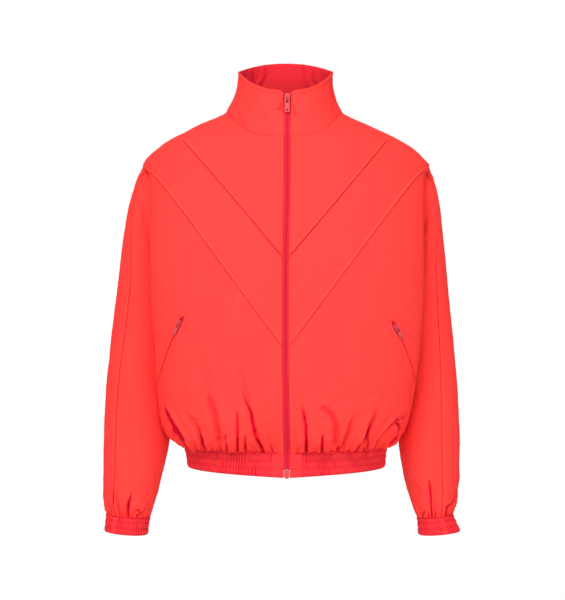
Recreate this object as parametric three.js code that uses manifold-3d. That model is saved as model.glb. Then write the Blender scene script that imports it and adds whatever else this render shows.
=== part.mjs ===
// A cropped track jacket in light woven cloth, filled out as if worn, with nobody in it.
// Millimetres, +Z up, the wearer faces -Y, and the wearer's left is +X.
// The origin is the middle of the neck hole, level with the shoulders beside the neck.
// Every cloth piece is a thin wall over one of three surfaces: the body, a sleeve or the collar.
import * as THREE from "three";
import { mergeVertices } from "three/addons/utils/BufferGeometryUtils.js";
import Module from "manifold-3d";

const cloth = 1.2; // wall of one layer of cloth
const doubled = 2.0; // wall of the collar, which is two layers
const elasticated = 3.0; // wall of the hem band and the cuffs
const seamGap = 0.2; // what each piece gives up at each seam
const zipHalf = 4.7; // from the front zip's centre line to each front edge
const hemTop = -546;
const hemBottom = -578;
const hemDip = 7; // how much lower the hem hangs at the zip than at the sides
const dentStart = 1.35; // how soon the body's side turns in towards the arm

// One object for each row, with the columns' names.
const table = (names, rows) =>
  rows.map((row) => Object.fromEntries(names.split(" ").map((name, i) => [name, row[i]])));

// Body sections, one row for each height. flank is the half width in front, where the body
// rounds away, and flankY how far back that is. front and back are the depths, edge the depth
// at the zip, and side the dent at the side seam that the arm presses in. corner is the power
// of the section's rounding, where 2 is an ellipse.
const bodySections = table("z flankR flankL flankY edge front backX backY back sideX sideY corner", [
  [-578, 162, 163, 0, 114, 114, 163, 10, 101, 163, 5, 2.25],
  [-546, 168, 167, 0, 118, 118, 167, 10, 104, 167, 5, 2.25],
  [-537, 181, 179, -5, 121, 130, 177, 18, 114, 175, 7, 2.3],
  [-529, 191, 187, -10, 124, 138, 185, 28, 120, 179, 9, 2.35],
  [-515, 198, 195, -18, 130, 144, 190, 42, 125, 181, 12, 2.4],
  [-495, 203, 201, -25, 136, 148, 193, 54, 129, 181, 16, 2.4],
  [-465, 207, 206, -33, 142, 149, 196, 66, 131, 180, 20, 2.4],
  [-430, 211, 211, -40, 145, 148, 198, 74, 131, 178, 23, 2.4],
  [-380, 214, 217, -45, 146, 147, 199, 80, 131, 177, 25, 2.4],
  [-300, 219, 222, -48, 146, 147, 200, 84, 131, 180, 25, 2.4],
  [-250, 220, 223, -50, 145, 146, 204, 83, 131, 180, 25, 2.35],
  [-200, 220, 223, -52, 141, 142, 210, 80, 130, 180, 25, 2.3],
  [-150, 220, 223, -48, 135, 136, 216, 68, 127, 180, 25, 2.2],
  [-120, 221, 224, -37, 130, 131, 220, 50, 124, 180, 25, 2.1],
  [-100, 224, 227, -20, 125, 126, 226, 28, 121, 180, 25, 2.05],
  [-84, 236, 236, 0, 120, 120, 236, 0, 118, 180, 25, 2],
  [-74, 231, 228, 0, 116, 116, 229, 0, 115, 180, 25, 2],
  [-57, 213, 211, 0, 109, 109, 212, 0, 109, 180, 25, 2],
  [-41, 190, 185, 0, 100, 100, 188, 0, 103, 180, 25, 2],
  [-28, 165, 157, 0, 87, 87, 161, 0, 98, 160, 20, 2],
  [-15, 139, 130, 0, 72, 72, 135, 0, 92, 130, 15, 2],
  [-5, 115, 108, 0, 59, 59, 112, 0, 87, 110, 10, 2],
  [6, 98, 92, 0, 47, 47, 95, 0, 81, 90, 5, 2],
  [20, 97, 91, 0, 44, 44, 94, 0, 74, 90, 5, 2],
]);

// The armhole from under the arm to the shoulder point, with the angle at which each place
// meets the sleeve. front and back are how far back its two sides lie.
const armhole = [
  { z: -300, x: 181, front: 25, back: 25, degrees: 180 },
  { z: -286, x: 187, front: -2, back: 43, degrees: 150 },
  { z: -246, x: 197, front: -23, back: 54, degrees: 120 },
  { z: -188, x: 206, front: -35, back: 56, degrees: 88 },
  { z: -131, x: 212, front: -30, back: 42, degrees: 55 },
  { z: -92, x: 222, front: -9, back: 9, degrees: 22 },
  { z: -84, x: 236, front: 0, back: 0, degrees: 0 },
];
const underarmZ = armhole[0].z;
const shoulderZ = armhole[6].z;

// The zip wanders a little from side to side.
const zipLine = [
  { z: -578, x: 0.9 },
  { z: -540, x: 1.2 },
  { z: -470, x: -0.2 },
  { z: -380, x: -1.3 },
  { z: -250, x: -1.0 },
  { z: -190, x: 0.1 },
  { z: -110, x: 1.4 },
  { z: -45, x: 1.6 },
  { z: 29, x: 1.8 },
];

// The shoulder seam lies in front of the ridge: its half width as a share of the flank.
const shoulderSeam = [
  { z: -84, share: 1.0 },
  { z: -80, share: 0.972 },
  { z: -76, share: 0.952 },
  { z: -67, share: 0.914 },
  { z: -57, share: 0.87 },
  { z: -47, share: 0.836 },
  { z: -30, share: 0.812 },
  { z: -15, share: 0.79 },
  { z: -5, share: 0.79 },
];

// Rows of cloth across each front: the height at the zip and at the side, and how the row
// climbs between them. The two diagonal seams are rows themselves.
const frontRows = [
  { centre: -546, side: -546, bend: 1, hook: 0.06 },
  { centre: -541, side: -541, bend: 1, hook: 0.06 },
  { centre: -535, side: -535, bend: 1, hook: 0.06 },
  { centre: -527, side: -526, bend: 1, hook: 0.06 },
  { centre: -516, side: -512, bend: 1, hook: 0.06 },
  { centre: -502, side: -490, bend: 1, hook: 0.06 },
  { centre: -486, side: -460, bend: 1, hook: 0.06 },
  { centre: -468, side: -420, bend: 1, hook: 0.06 },
  { centre: -450, side: -370, bend: 1, hook: 0.06 },
  { centre: -433, side: -325, bend: 1, hook: 0.06 },
  { centre: -422, side: -300, bend: 1, hook: 0.06 },
  { centre: -411, side: -286, bend: 1, hook: 0.06 },
  { centre: -401, side: -246, bend: 1, hook: 0.06 },
  { centre: -392, side: -188, bend: 1, hook: 0.06 },
  { centre: -385, side: -131, bend: 1, hook: 0.06 },
  { centre: -380, side: -92, bend: 1, hook: 0.06 },
  { centre: -378, side: -84, bend: 1, hook: 0.06 },
  { centre: -308, side: -66, bend: 1, hook: 0.03 },
  { centre: -238, side: -47, bend: 1, hook: 0 },
  { centre: -165, side: -33, bend: 1.3, hook: 0 },
  { centre: -95, side: -18, bend: 2.1, hook: 0 },
  { centre: -45, side: -5, bend: 3.3, hook: 0 },
];
const lowerSeamRow = 16;
const upperSeamRow = 18;
const neckRow = 21;

// Rows of cloth across the back, which meet the front's rows at the side and the shoulder.
const backCentres = [
  -546, -541, -535, -527, -514, -492, -463, -425, -378, -338, -312, -283, -252, -210, -160, -122,
  -100, -72, -45, -22, 0, 20,
];
const backRows = frontRows.map((row, i) => ({ centre: backCentres[i], side: row.side }));
const backShoulderRow = lowerSeamRow;

// Sleeve rings below the armhole, down to the cuff's edge. out is the point furthest from the
// body and in the nearest one; front and back are the half depths, and lean moves those two
// points outwards. seam is the angle of the long sleeve seam, from out towards the front.
const sleeveRings = table("outR outL outY outZ inR inL inY inZ front back lean seamR seamL round", [
  [242, 240, 4, -98, 184, 183, 29, -307, 46, 50, 8, 24, 30, 2],
  [250, 247, 8, -120, 187, 185, 31, -315, 53, 56, 7, 36, 42, 2.05],
  [260, 254, 14, -152, 189, 187, 32, -325, 58, 60, 5, 48, 53, 2.1],
  [269, 260, 19, -200, 190, 188, 33, -338, 60, 61, 3, 60, 61, 2.15],
  [276, 266, 23, -252, 191, 189, 33, -358, 60, 62, 1, 65, 65, 2.2],
  [285, 273, 25, -318, 191, 189, 31, -390, 58, 61, 0, 64, 67, 2.2],
  [293, 280, 24, -388, 191, 189, 29, -432, 57, 60, 0, 60, 70, 2.2],
  [299, 285, 20, -458, 191, 188, 24, -480, 56, 59, 0, 58, 72, 2.2],
  [301, 287, 13, -526, 193, 187, 17, -533, 54, 57, 0, 57, 73, 2.2],
  [301, 286, 5, -588, 204, 194, 9, -590, 51, 53, 0, 59, 74, 2.15],
  [301, 282, 0, -628, 215, 205, 3, -633, 45, 46, 0, 60, 75, 2.1],
  [299, 278, -2, -647, 221, 212, 0, -653, 38, 39, 0, 60, 76, 2.05],
  [296, 275, -3, -656, 224, 216, -1, -663, 33, 34, 0, 59, 76, 2],
  [299, 287, -5, -684, 228, 218, -3, -691, 32, 33, 0, 58, 75, 2],
]);
const cuffRing = 13; // rings are numbered from 1, because 0 is the armhole itself
const cuffEdgeRing = 14;

// The collar's top edge, and how far its wall bows inwards between seam and edge.
const collarTop = {
  halfR: 78, halfL: 77, middleY: -8, front: 77, back: 70,
  frontZ: 29, sideZ: 71, backZ: 95, bow: 5,
};

// Creases that run up from the hem seam. at is where each starts, measured round the hem from
// the zip or from the middle of the back. lean is how far its top lies towards the side, and
// bend above 1 keeps that lean for its upper part. rise is its height, then depth and width.
const creaseNames = "at lean bend rise deep wide";
const hemCreases = {
  right: table(creaseNames, [
    [22, 7, 1, 32, 3, 5],
    [37, 40, 0.9, 150, 9, 8],
    [67, -1, 1, 34, 5, 6],
    [79, -1, 1, 70, 6, 7],
    [106, 22, 1, 140, 6, 12],
    [136, 40, 1.6, 74, 7, 8],
    [150, 3, 1, 22, 4, 6],
    [161, 60, 1.3, 82, 11, 11],
    [180, 6, 1, 28, 4, 7],
    [204, 12, 1, 60, 8, 9],
  ]),
  left: table(creaseNames, [
    [17, 0, 1, 18, 3, 5],
    [31, -8, 2, 82, 8, 7],
    [55, 0, 1, 36, 5, 6],
    [81, -16, 2, 86, 5, 9],
    [99, 2, 1, 22, 4, 6],
    [112, 36, 0.8, 84, 8, 8],
    [130, -4, 1, 24, 4, 6],
    [147, 60, 1.5, 72, 10, 10],
    [166, 3, 1, 24, 4, 6],
    [182, 8, 1, 30, 4, 7],
    [206, 10, 1, 56, 8, 9],
  ]),
  backRight: table(creaseNames, [
    [12, 4, 1, 100, 7, 9],
    [58, 16, 1, 76, 7, 8],
    [84, 3, 1, 34, 5, 7],
    [108, 28, 1.2, 110, 8, 10],
    [132, 4, 1, 28, 5, 7],
    [156, 16, 1, 62, 7, 8],
    [182, 8, 1, 42, 6, 8],
  ]),
  backLeft: table(creaseNames, [
    [20, 0, 1, 42, 5, 7],
    [44, 14, 1, 88, 8, 9],
    [92, 20, 1.2, 66, 7, 8],
    [118, 6, 1, 34, 5, 7],
    [140, 28, 1, 104, 8, 10],
    [168, 6, 1, 36, 6, 8],
    [190, 10, 1, 52, 7, 8],
  ]),
};

// Creases that run up from the cuff seam, by the angle round the sleeve.
const cuffCreases = {
  right: [
    { angle: 35, lean: 4, rise: 34, deep: 5, wide: 9 },
    { angle: 62, lean: 3, rise: 42, deep: 4, wide: 8 },
    { angle: 90, lean: 8, rise: 52, deep: 6, wide: 8 },
    { angle: 122, lean: -6, rise: 22, deep: 4, wide: 8 },
    { angle: 148, lean: 6, rise: 26, deep: 4, wide: 9 },
    { angle: 185, lean: 0, rise: 40, deep: 5, wide: 10 },
    { angle: 222, lean: 5, rise: 30, deep: 5, wide: 9 },
    { angle: 262, lean: -6, rise: 50, deep: 6, wide: 10 },
    { angle: 300, lean: 4, rise: 32, deep: 5, wide: 9 },
    { angle: 336, lean: -4, rise: 40, deep: 5, wide: 9 },
  ],
  left: [
    { angle: 28, lean: -10, rise: 44, deep: 5, wide: 9 },
    { angle: 58, lean: 3, rise: 30, deep: 5, wide: 8 },
    { angle: 96, lean: -2, rise: 60, deep: 6, wide: 8 },
    { angle: 118, lean: -12, rise: 26, deep: 4, wide: 8 },
    { angle: 146, lean: -8, rise: 24, deep: 4, wide: 9 },
    { angle: 184, lean: 4, rise: 40, deep: 5, wide: 10 },
    { angle: 224, lean: -5, rise: 34, deep: 5, wide: 9 },
    { angle: 264, lean: 6, rise: 46, deep: 6, wide: 10 },
    { angle: 302, lean: -4, rise: 30, deep: 5, wide: 9 },
    { angle: 338, lean: 4, rise: 42, deep: 5, wide: 9 },
  ],
};

// Slanted pockets: each end as a share of the flank and a height.
const pockets = {
  right: { topShare: 0.742, topZ: -331, endShare: 0.985, endZ: -440 },
  left: { topShare: 0.752, topZ: -338, endShare: 0.985, endZ: -436 },
};
const lipWide = 7;
const lipThick = 1.0;
const lipGap = 0.85;
const mouthLong = 24; // the stretch at the pocket's top where the lips part round the slider
const mouthHalf = 4;
const chainHalf = 2.2;

const sign = { right: -1, left: 1 };
const hand = { right: "R", left: "L" };

// Small maths.
const mix = (a, b, t) => a + (b - a) * t;
const clamp01 = (t) => Math.min(1, Math.max(0, t));
const smooth = (t) => clamp01(t) ** 2 * (3 - 2 * clamp01(t));
const radians = (degrees) => (degrees * Math.PI) / 180;
const range = (n) => Array.from({ length: n }, (_, i) => i);
const even = (from, to, n) => range(n).map((i) => mix(from, to, i / (n - 1)));

// One column of a table as a function of another: a cubic through the rows that never
// overshoots between two of them.
function curve(rows, at, key) {
  const x = rows.map((row, i) => (at === null ? i : row[at]));
  const y = rows.map((row) => row[key]);
  const last = x.length - 1;
  const step = x.slice(1).map((value, i) => value - x[i]);
  const slope = step.map((h, i) => (y[i + 1] - y[i]) / h);
  const tangent = x.map((_, i) => {
    if (i === 0) return slope[0];
    if (i === last) return slope[last - 1];
    if (slope[i - 1] * slope[i] <= 0) return 0;
    const before = 2 * step[i] + step[i - 1];
    const after = step[i] + 2 * step[i - 1];
    return (before + after) / (before / slope[i - 1] + after / slope[i]);
  });
  return (value) => {
    const v = Math.min(x[last], Math.max(x[0], value));
    let i = 0;
    while (i < last - 1 && v > x[i + 1]) i += 1;
    const h = step[i];
    const t = (v - x[i]) / h;
    const t2 = t * t;
    const t3 = t2 * t;
    return (
      (2 * t3 - 3 * t2 + 1) * y[i] +
      (t3 - 2 * t2 + t) * h * tangent[i] +
      (3 * t2 - 2 * t3) * y[i + 1] +
      (t3 - t2) * h * tangent[i + 1]
    );
  };
}

const section = Object.fromEntries(
  Object.keys(bodySections[0])
    .filter((key) => key !== "z")
    .map((key) => [key, curve(bodySections, "z", key)]),
);
const ring = Object.fromEntries(
  Object.keys(sleeveRings[0]).map((key) => {
    const column = curve(sleeveRings, null, key);
    return [key, (k) => column(k - 1)];
  }),
);
const frontRow = Object.fromEntries(
  Object.keys(frontRows[0]).map((key) => [key, curve(frontRows, null, key)]),
);
const backRow = Object.fromEntries(
  Object.keys(backRows[0]).map((key) => [key, curve(backRows, null, key)]),
);
const zipX = curve(zipLine, "z", "x");
const seamShare = curve(shoulderSeam, "z", "share");

const armholeAt = Object.fromEntries(
  ["x", "front", "back"].map((key) => [key, curve(armhole, "z", key)]),
);
const flankWidth = (side, z) => section["flank" + hand[side]](z);

// A point of a sleeve ring, by ring number and angle: 0 is outwards, 90 the front.
function ringPoint(side, k, degrees) {
  if (k < 1) return armholePoint(side, degrees).lerp(ringPoint(side, 1, degrees), k);
  const a = radians(degrees);
  const c = Math.cos(a);
  const s = Math.sin(a);
  const power = 2 / ring.round(k);
  const along = Math.sign(c) * Math.abs(c) ** power;
  const across = Math.abs(s) ** power;
  const out = ring["out" + hand[side]](k);
  const inner = ring["in" + hand[side]](k);
  const depth = s > 0 ? -ring.front(k) : ring.back(k);
  return new THREE.Vector3(
    sign[side] * (mix(inner, out, (1 + along) / 2) + ring.lean(k) * across),
    mix(ring.inY(k), ring.outY(k), (1 + along) / 2) + depth * across,
    mix(ring.inZ(k), ring.outZ(k), (1 + along) / 2),
  );
}
const ringMiddle = (side, k) =>
  ringPoint(side, k, 0).add(ringPoint(side, k, 180)).multiplyScalar(0.5);

// A point of the armhole by its angle, straight between the rows that the body has there.
function armholePoint(side, degrees) {
  const turn = Math.abs(degrees);
  const way = degrees > 0 ? "front" : "back";
  const i = Math.max(1, armhole.findIndex((row) => row.degrees <= turn));
  const below = armhole[i - 1];
  const above = armhole[i];
  const t = (turn - below.degrees) / (above.degrees - below.degrees);
  return new THREE.Vector3(
    sign[side] * mix(below.x, above.x, t),
    mix(below[way], above[way], t),
    mix(below.z, above.z, t),
  );
}

// The side edge of the body at a height: the side seam, or the armhole above the underarm.
function sidePoint(z, facing) {
  if (z <= underarmZ) return { x: section.sideX(z), y: section.sideY(z) };
  return { x: armholeAt.x(z), y: armholeAt[facing](z) };
}

// How far the creases above the hem pull the cloth in, at a place round the hem.
function creaseDepth(creases, around, height) {
  let pulled = 0;
  for (const crease of creases) {
    const reach = Math.max(0, height) / crease.rise;
    if (reach >= 1) continue;
    const offset = around - crease.at - crease.lean * reach ** crease.bend;
    const width = crease.wide * (0.75 + 0.7 * reach);
    pulled += crease.deep * (1 - reach) ** 1.2 * Math.exp(-((offset / width) ** 2));
  }
  return pulled * smooth(height / 9);
}

// A point on the front of the body by its place in the front view. round runs from 0 at the
// middle to 1 at the flank, and on to 2 at the side seam or armhole.
function bodyFront(side, x, z, round) {
  const flank = flankWidth(side, z);
  const flankY = section.flankY(z);
  if (round > 1) {
    const edge = sidePoint(z, "front");
    const t = round - 1;
    return [mix(flank, edge.x, smooth(t * dentStart)), mix(flankY, edge.y, t)];
  }
  const share = Math.min(1, x / flank);
  const corner = section.corner(z);
  const bulge = Math.max(0, 1 - share ** corner) ** (1 / corner);
  const depth = mix(section.edge(z), section.front(z), smooth(x / 45));
  return [x, flankY - (depth + flankY) * bulge];
}

function bodyBack(side, round, z) {
  if (round > 1 && z > shoulderZ) {
    const share = Math.sin((Math.PI / 2) * (2 - round));
    return bodyFront(side, flankWidth(side, z) * share, z, 2 - round);
  }
  const flank = z > shoulderZ ? flankWidth(side, z) : section.backX(z);
  const backY = section.backY(z);
  if (round > 1) {
    const edge = sidePoint(z, "back");
    const t = round - 1;
    return [mix(flank, edge.x, smooth(t * dentStart)), mix(backY, edge.y, t)];
  }
  const power = 2 / section.corner(z);
  const a = (Math.PI / 2) * round;
  return [
    flank * Math.sin(a) ** power,
    backY + (section.back(z) - backY) * Math.cos(a) ** power,
  ];
}

// Where the flank falls along a row: rows under the shoulder turn round the flank into the
// side dent, and that stretch shrinks to nothing at the shoulder point.
function flankAt(z) {
  const t = clamp01((z - underarmZ) / (shoulderZ - underarmZ));
  return z < shoulderZ ? mix(0.84, 1, t ** 3) : 1;
}

// 0 at the middle, 1 at the flank and on to 2 at the side edge.
function roundAt(along, turn) {
  return along <= turn ? along / turn : 1 + (along - turn) / (1 - turn);
}

// A point of a front piece before its creases: row is a row number of the table, and along
// runs from zip to side.
function frontPlain(side, row, along) {
  const centre = frontRow.centre(row);
  const end = frontRow.side(row);
  const turn = flankAt(end);
  const low = row <= lowerSeamRow;
  const round = low ? roundAt(along, turn) : along;
  const share = low ? 1 : seamShare(end);
  const reach = flankWidth(side, end) * share;
  const spread = Math.sin((Math.PI / 2) * Math.min(1, round));
  const climb = spread ** frontRow.bend(row) + frontRow.hook(row) * spread * (1 - spread ** 8);
  const z = mix(centre, end, climb);
  const edge = zipHalf + sign[side] * zipX(z);
  const x = Math.min(mix(edge, reach, spread), flankWidth(side, z) * 0.9999);
  const [px, py] = bodyFront(side, round >= 1 && low ? flankWidth(side, z) : x, z, low ? round : 1);
  return new THREE.Vector3(sign[side] * px, py, z);
}

function backPlain(side, row, along) {
  const centre = backRow.centre(row);
  const end = backRow.side(row);
  const turn = flankAt(end);
  const low = row <= backShoulderRow;
  const over = 2 - (2 / Math.PI) * Math.asin(seamShare(end));
  const round = low ? roundAt(along, turn) : along * over;
  const z = mix(centre, end, along ** 1.8);
  const [px, py] = bodyBack(side, round, z);
  return new THREE.Vector3(sign[side] * px, py, z);
}

// How far round the hem each share of a row is, and the share at a length round the hem.
function hemMeasure(plain, side, start) {
  const shares = even(0, 1, 201);
  const lengths = [start];
  shares.slice(1).forEach((share, i) => {
    const step = plain(side, 0, share).distanceTo(plain(side, 0, shares[i]));
    lengths.push(lengths[i] + step);
  });
  const between = (from, to, value) => {
    const i = Math.min(199, Math.max(0, from.findIndex((x) => x >= value) - 1));
    return mix(to[i], to[i + 1], (value - from[i]) / (from[i + 1] - from[i]));
  };
  return {
    length: (share) => between(shares, lengths, share),
    share: (length) => between(lengths, shares, length),
  };
}
const hemFront = {
  right: hemMeasure(frontPlain, "right", zipHalf),
  left: hemMeasure(frontPlain, "left", zipHalf),
};
const hemBack = {
  right: hemMeasure(backPlain, "right", 0),
  left: hemMeasure(backPlain, "left", 0),
};

// The panels with their creases. The cloth's own width at a height sets how far the creases
// have spread there.
function frontSurface(side, row, along) {
  const point = frontPlain(side, row, along);
  const growth = flankWidth(side, point.z) / flankWidth(side, hemTop);
  const around = hemFront[side].length(along) * growth;
  const flat = smooth((Math.abs(point.x) - zipHalf) / 14);
  const pulled = creaseDepth(hemCreases[side], around, point.z - hemTop) * flat;
  return point.addScaledVector(outwards(point), -pulled);
}

function backSurface(side, row, along) {
  const point = backPlain(side, row, along);
  const growth = section.backX(point.z) / section.backX(hemTop);
  const around = hemBack[side].length(along) * growth;
  const creases = hemCreases[side === "right" ? "backRight" : "backLeft"];
  const pulled = creaseDepth(creases, around, point.z - hemTop);
  return point.addScaledVector(outwards(point), -pulled);
}

// Level, and away from the middle of the body.
function outwards(point) {
  const v = new THREE.Vector3(point.x * 0.5, point.y, 0);
  return v.lengthSq() > 1e-9 ? v.normalize() : new THREE.Vector3(0, -1, 0);
}

function sleeveSurface(side, k, degrees) {
  const point = ringPoint(side, k, degrees);
  const middle = ringMiddle(side, k);
  const seam = ringPoint(side, cuffRing, degrees);
  const height = point.distanceTo(seam);
  const turned = ((degrees % 360) + 360) % 360;
  let pulled = 0;
  for (const crease of cuffCreases[side]) {
    const reach = height / crease.rise;
    if (reach >= 1 || k >= cuffRing) continue;
    let offset = turned - crease.angle - crease.lean * reach;
    offset -= 360 * Math.round(offset / 360);
    const width = crease.wide * (0.8 + 0.6 * reach);
    pulled += crease.deep * (1 - reach) * Math.exp(-((offset / width) ** 2));
  }
  const away = point.clone().sub(middle).normalize();
  return point.addScaledVector(away, -pulled * smooth(height / 7));
}

// The neck seam, by the share of the way round from the zip to the middle of the back.
const neckFront = 0.42;
function neckPoint(side, around) {
  if (around <= neckFront) return frontSurface(side, neckRow, around / neckFront);
  return backSurface(side, backRows.length - 1, (1 - around) / (1 - neckFront));
}

function collarSurface(side, up, around) {
  const low = neckPoint(side, around);
  const a = Math.PI * around;
  const half = collarTop["half" + hand[side]];
  const depth = a < Math.PI / 2 ? collarTop.front : collarTop.back;
  const facing = Math.cos(a);
  const z =
    facing > 0
      ? mix(collarTop.sideZ, collarTop.frontZ, facing ** 1.5)
      : mix(collarTop.sideZ, collarTop.backZ, (-facing) ** 1.5);
  const spread = Math.sin(a) ** 0.92;
  const edge = zipHalf + sign[side] * zipX(z) + 1.5;
  const x = around < 0.5 ? mix(edge, half, spread) : half * spread;
  const high = new THREE.Vector3(sign[side] * x, collarTop.middleY - depth * facing, z);
  const bow = collarTop.bow * Math.sin(Math.PI * up) * smooth(around * 4);
  const point = low.clone().lerp(high, up);
  return point.addScaledVector(outwards(point), -bow);
}

// Solids.

// A skin is a grid of points with the outward direction at each. core gives a point inside
// the hollow, and beyond(i, end) the neighbour's point next to the end of row i, if it has one.
function skin(grid, core, { wrap = false, beyond = () => null } = {}) {
  const rows = grid.length;
  const columns = grid[0].length;
  const at = (i, j) => {
    const row = Math.min(rows - 1, Math.max(0, i));
    if (wrap) return grid[row][(j + columns) % columns];
    if (j < 0) return beyond(row, "first") ?? grid[row][0];
    if (j >= columns) return beyond(row, "last") ?? grid[row][columns - 1];
    return grid[row][j];
  };
  const normals = grid.map((line, i) =>
    line.map((_, j) => {
      const up = at(i + 1, j).clone().sub(at(i - 1, j));
      const along = at(i, j + 1).clone().sub(at(i, j - 1));
      return along.cross(up).normalize();
    }),
  );
  let facing = 0;
  grid.forEach((line, i) =>
    line.forEach((p, j) => {
      facing += Math.sign(normals[i][j].dot(p.clone().sub(core(p))));
    }),
  );
  const turn = Math.sign(facing);
  normals.flat().forEach((normal) => normal.multiplyScalar(turn));
  return { grid, normals, turn, wrap };
}
const rowsOf = (whole, first, last) => ({
  ...whole,
  grid: whole.grid.slice(first, last + 1),
  normals: whole.normals.slice(first, last + 1),
});
const columnsOf = (whole, columns) => ({
  ...whole,
  wrap: false,
  grid: whole.grid.map((line) => columns.map((j) => line[j])),
  normals: whole.normals.map((line) => columns.map((j) => line[j])),
});

// A closed wall from a skin: its outer face is the skin, which lift moves further out, and its
// inner face is the skin moved in by the thickness. trim is how many seam gaps the first row,
// last row, first column and last column give up.
function wall(whole, thickness, { lift = () => 0, trim = [1, 1, 1, 1] } = {}) {
  const { grid, normals, turn, wrap } = whole;
  const rows = grid.length;
  const columns = grid[0].length;
  const trimmed = (i, j) => {
    const moved = grid[i][j].clone();
    const pull = (row, column, times) => {
      const direction = grid[row][column].clone().sub(grid[i][j]).normalize();
      moved.addScaledVector(direction, seamGap * times);
    };
    if (i === 0) pull(1, j, trim[0]);
    if (i === rows - 1) pull(rows - 2, j, trim[1]);
    if (!wrap && j === 0) pull(i, 1, trim[2]);
    if (!wrap && j === columns - 1) pull(i, columns - 2, trim[3]);
    return moved;
  };
  const positions = [];
  for (const outer of [true, false]) {
    for (let i = 0; i < rows; i += 1) {
      for (let j = 0; j < columns; j += 1) {
        const p = trimmed(i, j).addScaledVector(normals[i][j], outer ? lift(i, j) : -thickness);
        positions.push(p.x, p.y, p.z);
      }
    }
  }
  const inner = rows * columns;
  const index = [];
  const quad = (a, b, c, d) => {
    if (turn > 0) index.push(a, b, c, a, c, d);
    else index.push(a, c, b, a, d, c);
  };
  const spans = wrap ? columns : columns - 1;
  for (let i = 0; i < rows - 1; i += 1) {
    for (let j = 0; j < spans; j += 1) {
      const a = i * columns + j;
      const b = i * columns + ((j + 1) % columns);
      quad(a, b, b + columns, a + columns);
      quad(inner + b, inner + a, inner + a + columns, inner + b + columns);
    }
  }
  for (let j = 0; j < spans; j += 1) {
    const next = (j + 1) % columns;
    const top = (rows - 1) * columns;
    quad(inner + j, inner + next, next, j);
    quad(top + j, top + next, inner + top + next, inner + top + j);
  }
  if (!wrap) {
    for (let i = 0; i < rows - 1; i += 1) {
      const a = i * columns;
      const b = a + columns - 1;
      quad(inner + a, a, a + columns, inner + a + columns);
      quad(b, inner + b, inner + b + columns, b + columns);
    }
  }
  const geometry = new THREE.BufferGeometry();
  geometry.setAttribute("position", new THREE.Float32BufferAttribute(positions, 3));
  geometry.setIndex(index);
  return geometry;
}

const bodyCore = (p) => new THREE.Vector3(p.x * 0.3, 0, Math.min(p.z, -30) - 30);
const collarCore = (p) => new THREE.Vector3(0, -8, p.z);

// Cloth and metal finishes.
const red = (color, roughness) =>
  new THREE.MeshStandardMaterial({ color, roughness, metalness: 0 });
const nylon = red(0xf84440, 0.75);
const band = red(0xf03c3a, 0.8);
const tape = red(0xd81c34, 0.85);
const enamel = new THREE.MeshStandardMaterial({
  color: 0xd85c5c,
  roughness: 0.4,
  metalness: 0.4,
});

const jacket = new THREE.Group();
function add(name, geometry, material, parent = jacket) {
  const mesh = new THREE.Mesh(geometry, material);
  mesh.name = name;
  parent.add(mesh);
  return mesh;
}

// Body panels. The upper piece of each diagonal seam laps over as a raised edge.
const lapWide = 5;
const lapRaise = 0.9;
function lapped(piece) {
  const [first, second, ...rest] = piece.grid;
  const middle = Math.floor(first.length / 2);
  const near = lapWide / first[middle].distanceTo(second[middle]);
  const between = ([a, b], t) => a.map((p, j) => p.clone().lerp(b[j], t));
  const turned = (t) => between(piece.normals, t).map((normal) => normal.normalize());
  return {
    ...piece,
    grid: [first, between(piece.grid, near), between(piece.grid, near * 1.4), second, ...rest],
    normals: [piece.normals[0], turned(near), turned(near * 1.4), ...piece.normals.slice(1)],
  };
}
const raisedLap = (i) => (i < 2 ? lapRaise : 0);
function withMiddles(values) {
  return values.flatMap((value, i) => (i ? [(values[i - 1] + value) / 2, value] : [value]));
}

// The columns of a panel stand at its creases, at the flank and halfway between these.
const flankColumn = 0.868;
function creaseColumns(creases, measure) {
  const places = [0, ...creases.map((crease) => measure.share(crease.at)), flankColumn, 1];
  return withMiddles(places).filter((_, i) => i !== 1);
}
const frontColumns = {
  right: creaseColumns(hemCreases.right, hemFront.right),
  left: creaseColumns(hemCreases.left, hemFront.left),
};
const backColumns = {
  right: creaseColumns(hemCreases.backRight, hemBack.right),
  left: creaseColumns(hemCreases.backLeft, hemBack.left),
};
const isArmhole = (row) => frontRows[row].side > underarmZ && frontRows[row].side < shoulderZ;
for (const side of ["right", "left"]) {
  const grid = frontRows.map((_, row) =>
    frontColumns[side].map((along) => frontSurface(side, row, along)),
  );
  const beyond = (row, end) =>
    end === "last" && !isArmhole(row) ? backSurface(side, row, backColumns[side].at(-2)) : null;
  const front = skin(grid, bodyCore, { beyond });
  const trim = [1, 1, 0, 2];
  const bandSkin = lapped(rowsOf(front, lowerSeamRow, upperSeamRow));
  const yokeSkin = lapped(rowsOf(front, upperSeamRow, neckRow));
  add(`front_${side}`, wall(rowsOf(front, 0, lowerSeamRow), cloth, { trim }), nylon);
  add(`front_band_${side}`, wall(bandSkin, cloth, { lift: raisedLap, trim }), nylon);
  add(`front_yoke_${side}`, wall(yokeSkin, cloth, { lift: raisedLap, trim }), nylon);
}

// The back is one piece from side seam to side seam.
{
  const grid = backRows.map((_, row) => [
    ...backColumns.right.slice(1).reverse().map((along) => backSurface("right", row, along)),
    ...backColumns.left.map((along) => backSurface("left", row, along)),
  ]);
  const beyond = (row, end) => {
    const side = end === "first" ? "right" : "left";
    return isArmhole(row) ? null : frontSurface(side, row, frontColumns[side].at(-2));
  };
  add("back", wall(skin(grid, bodyCore, { beyond }), cloth), nylon);
}

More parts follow.
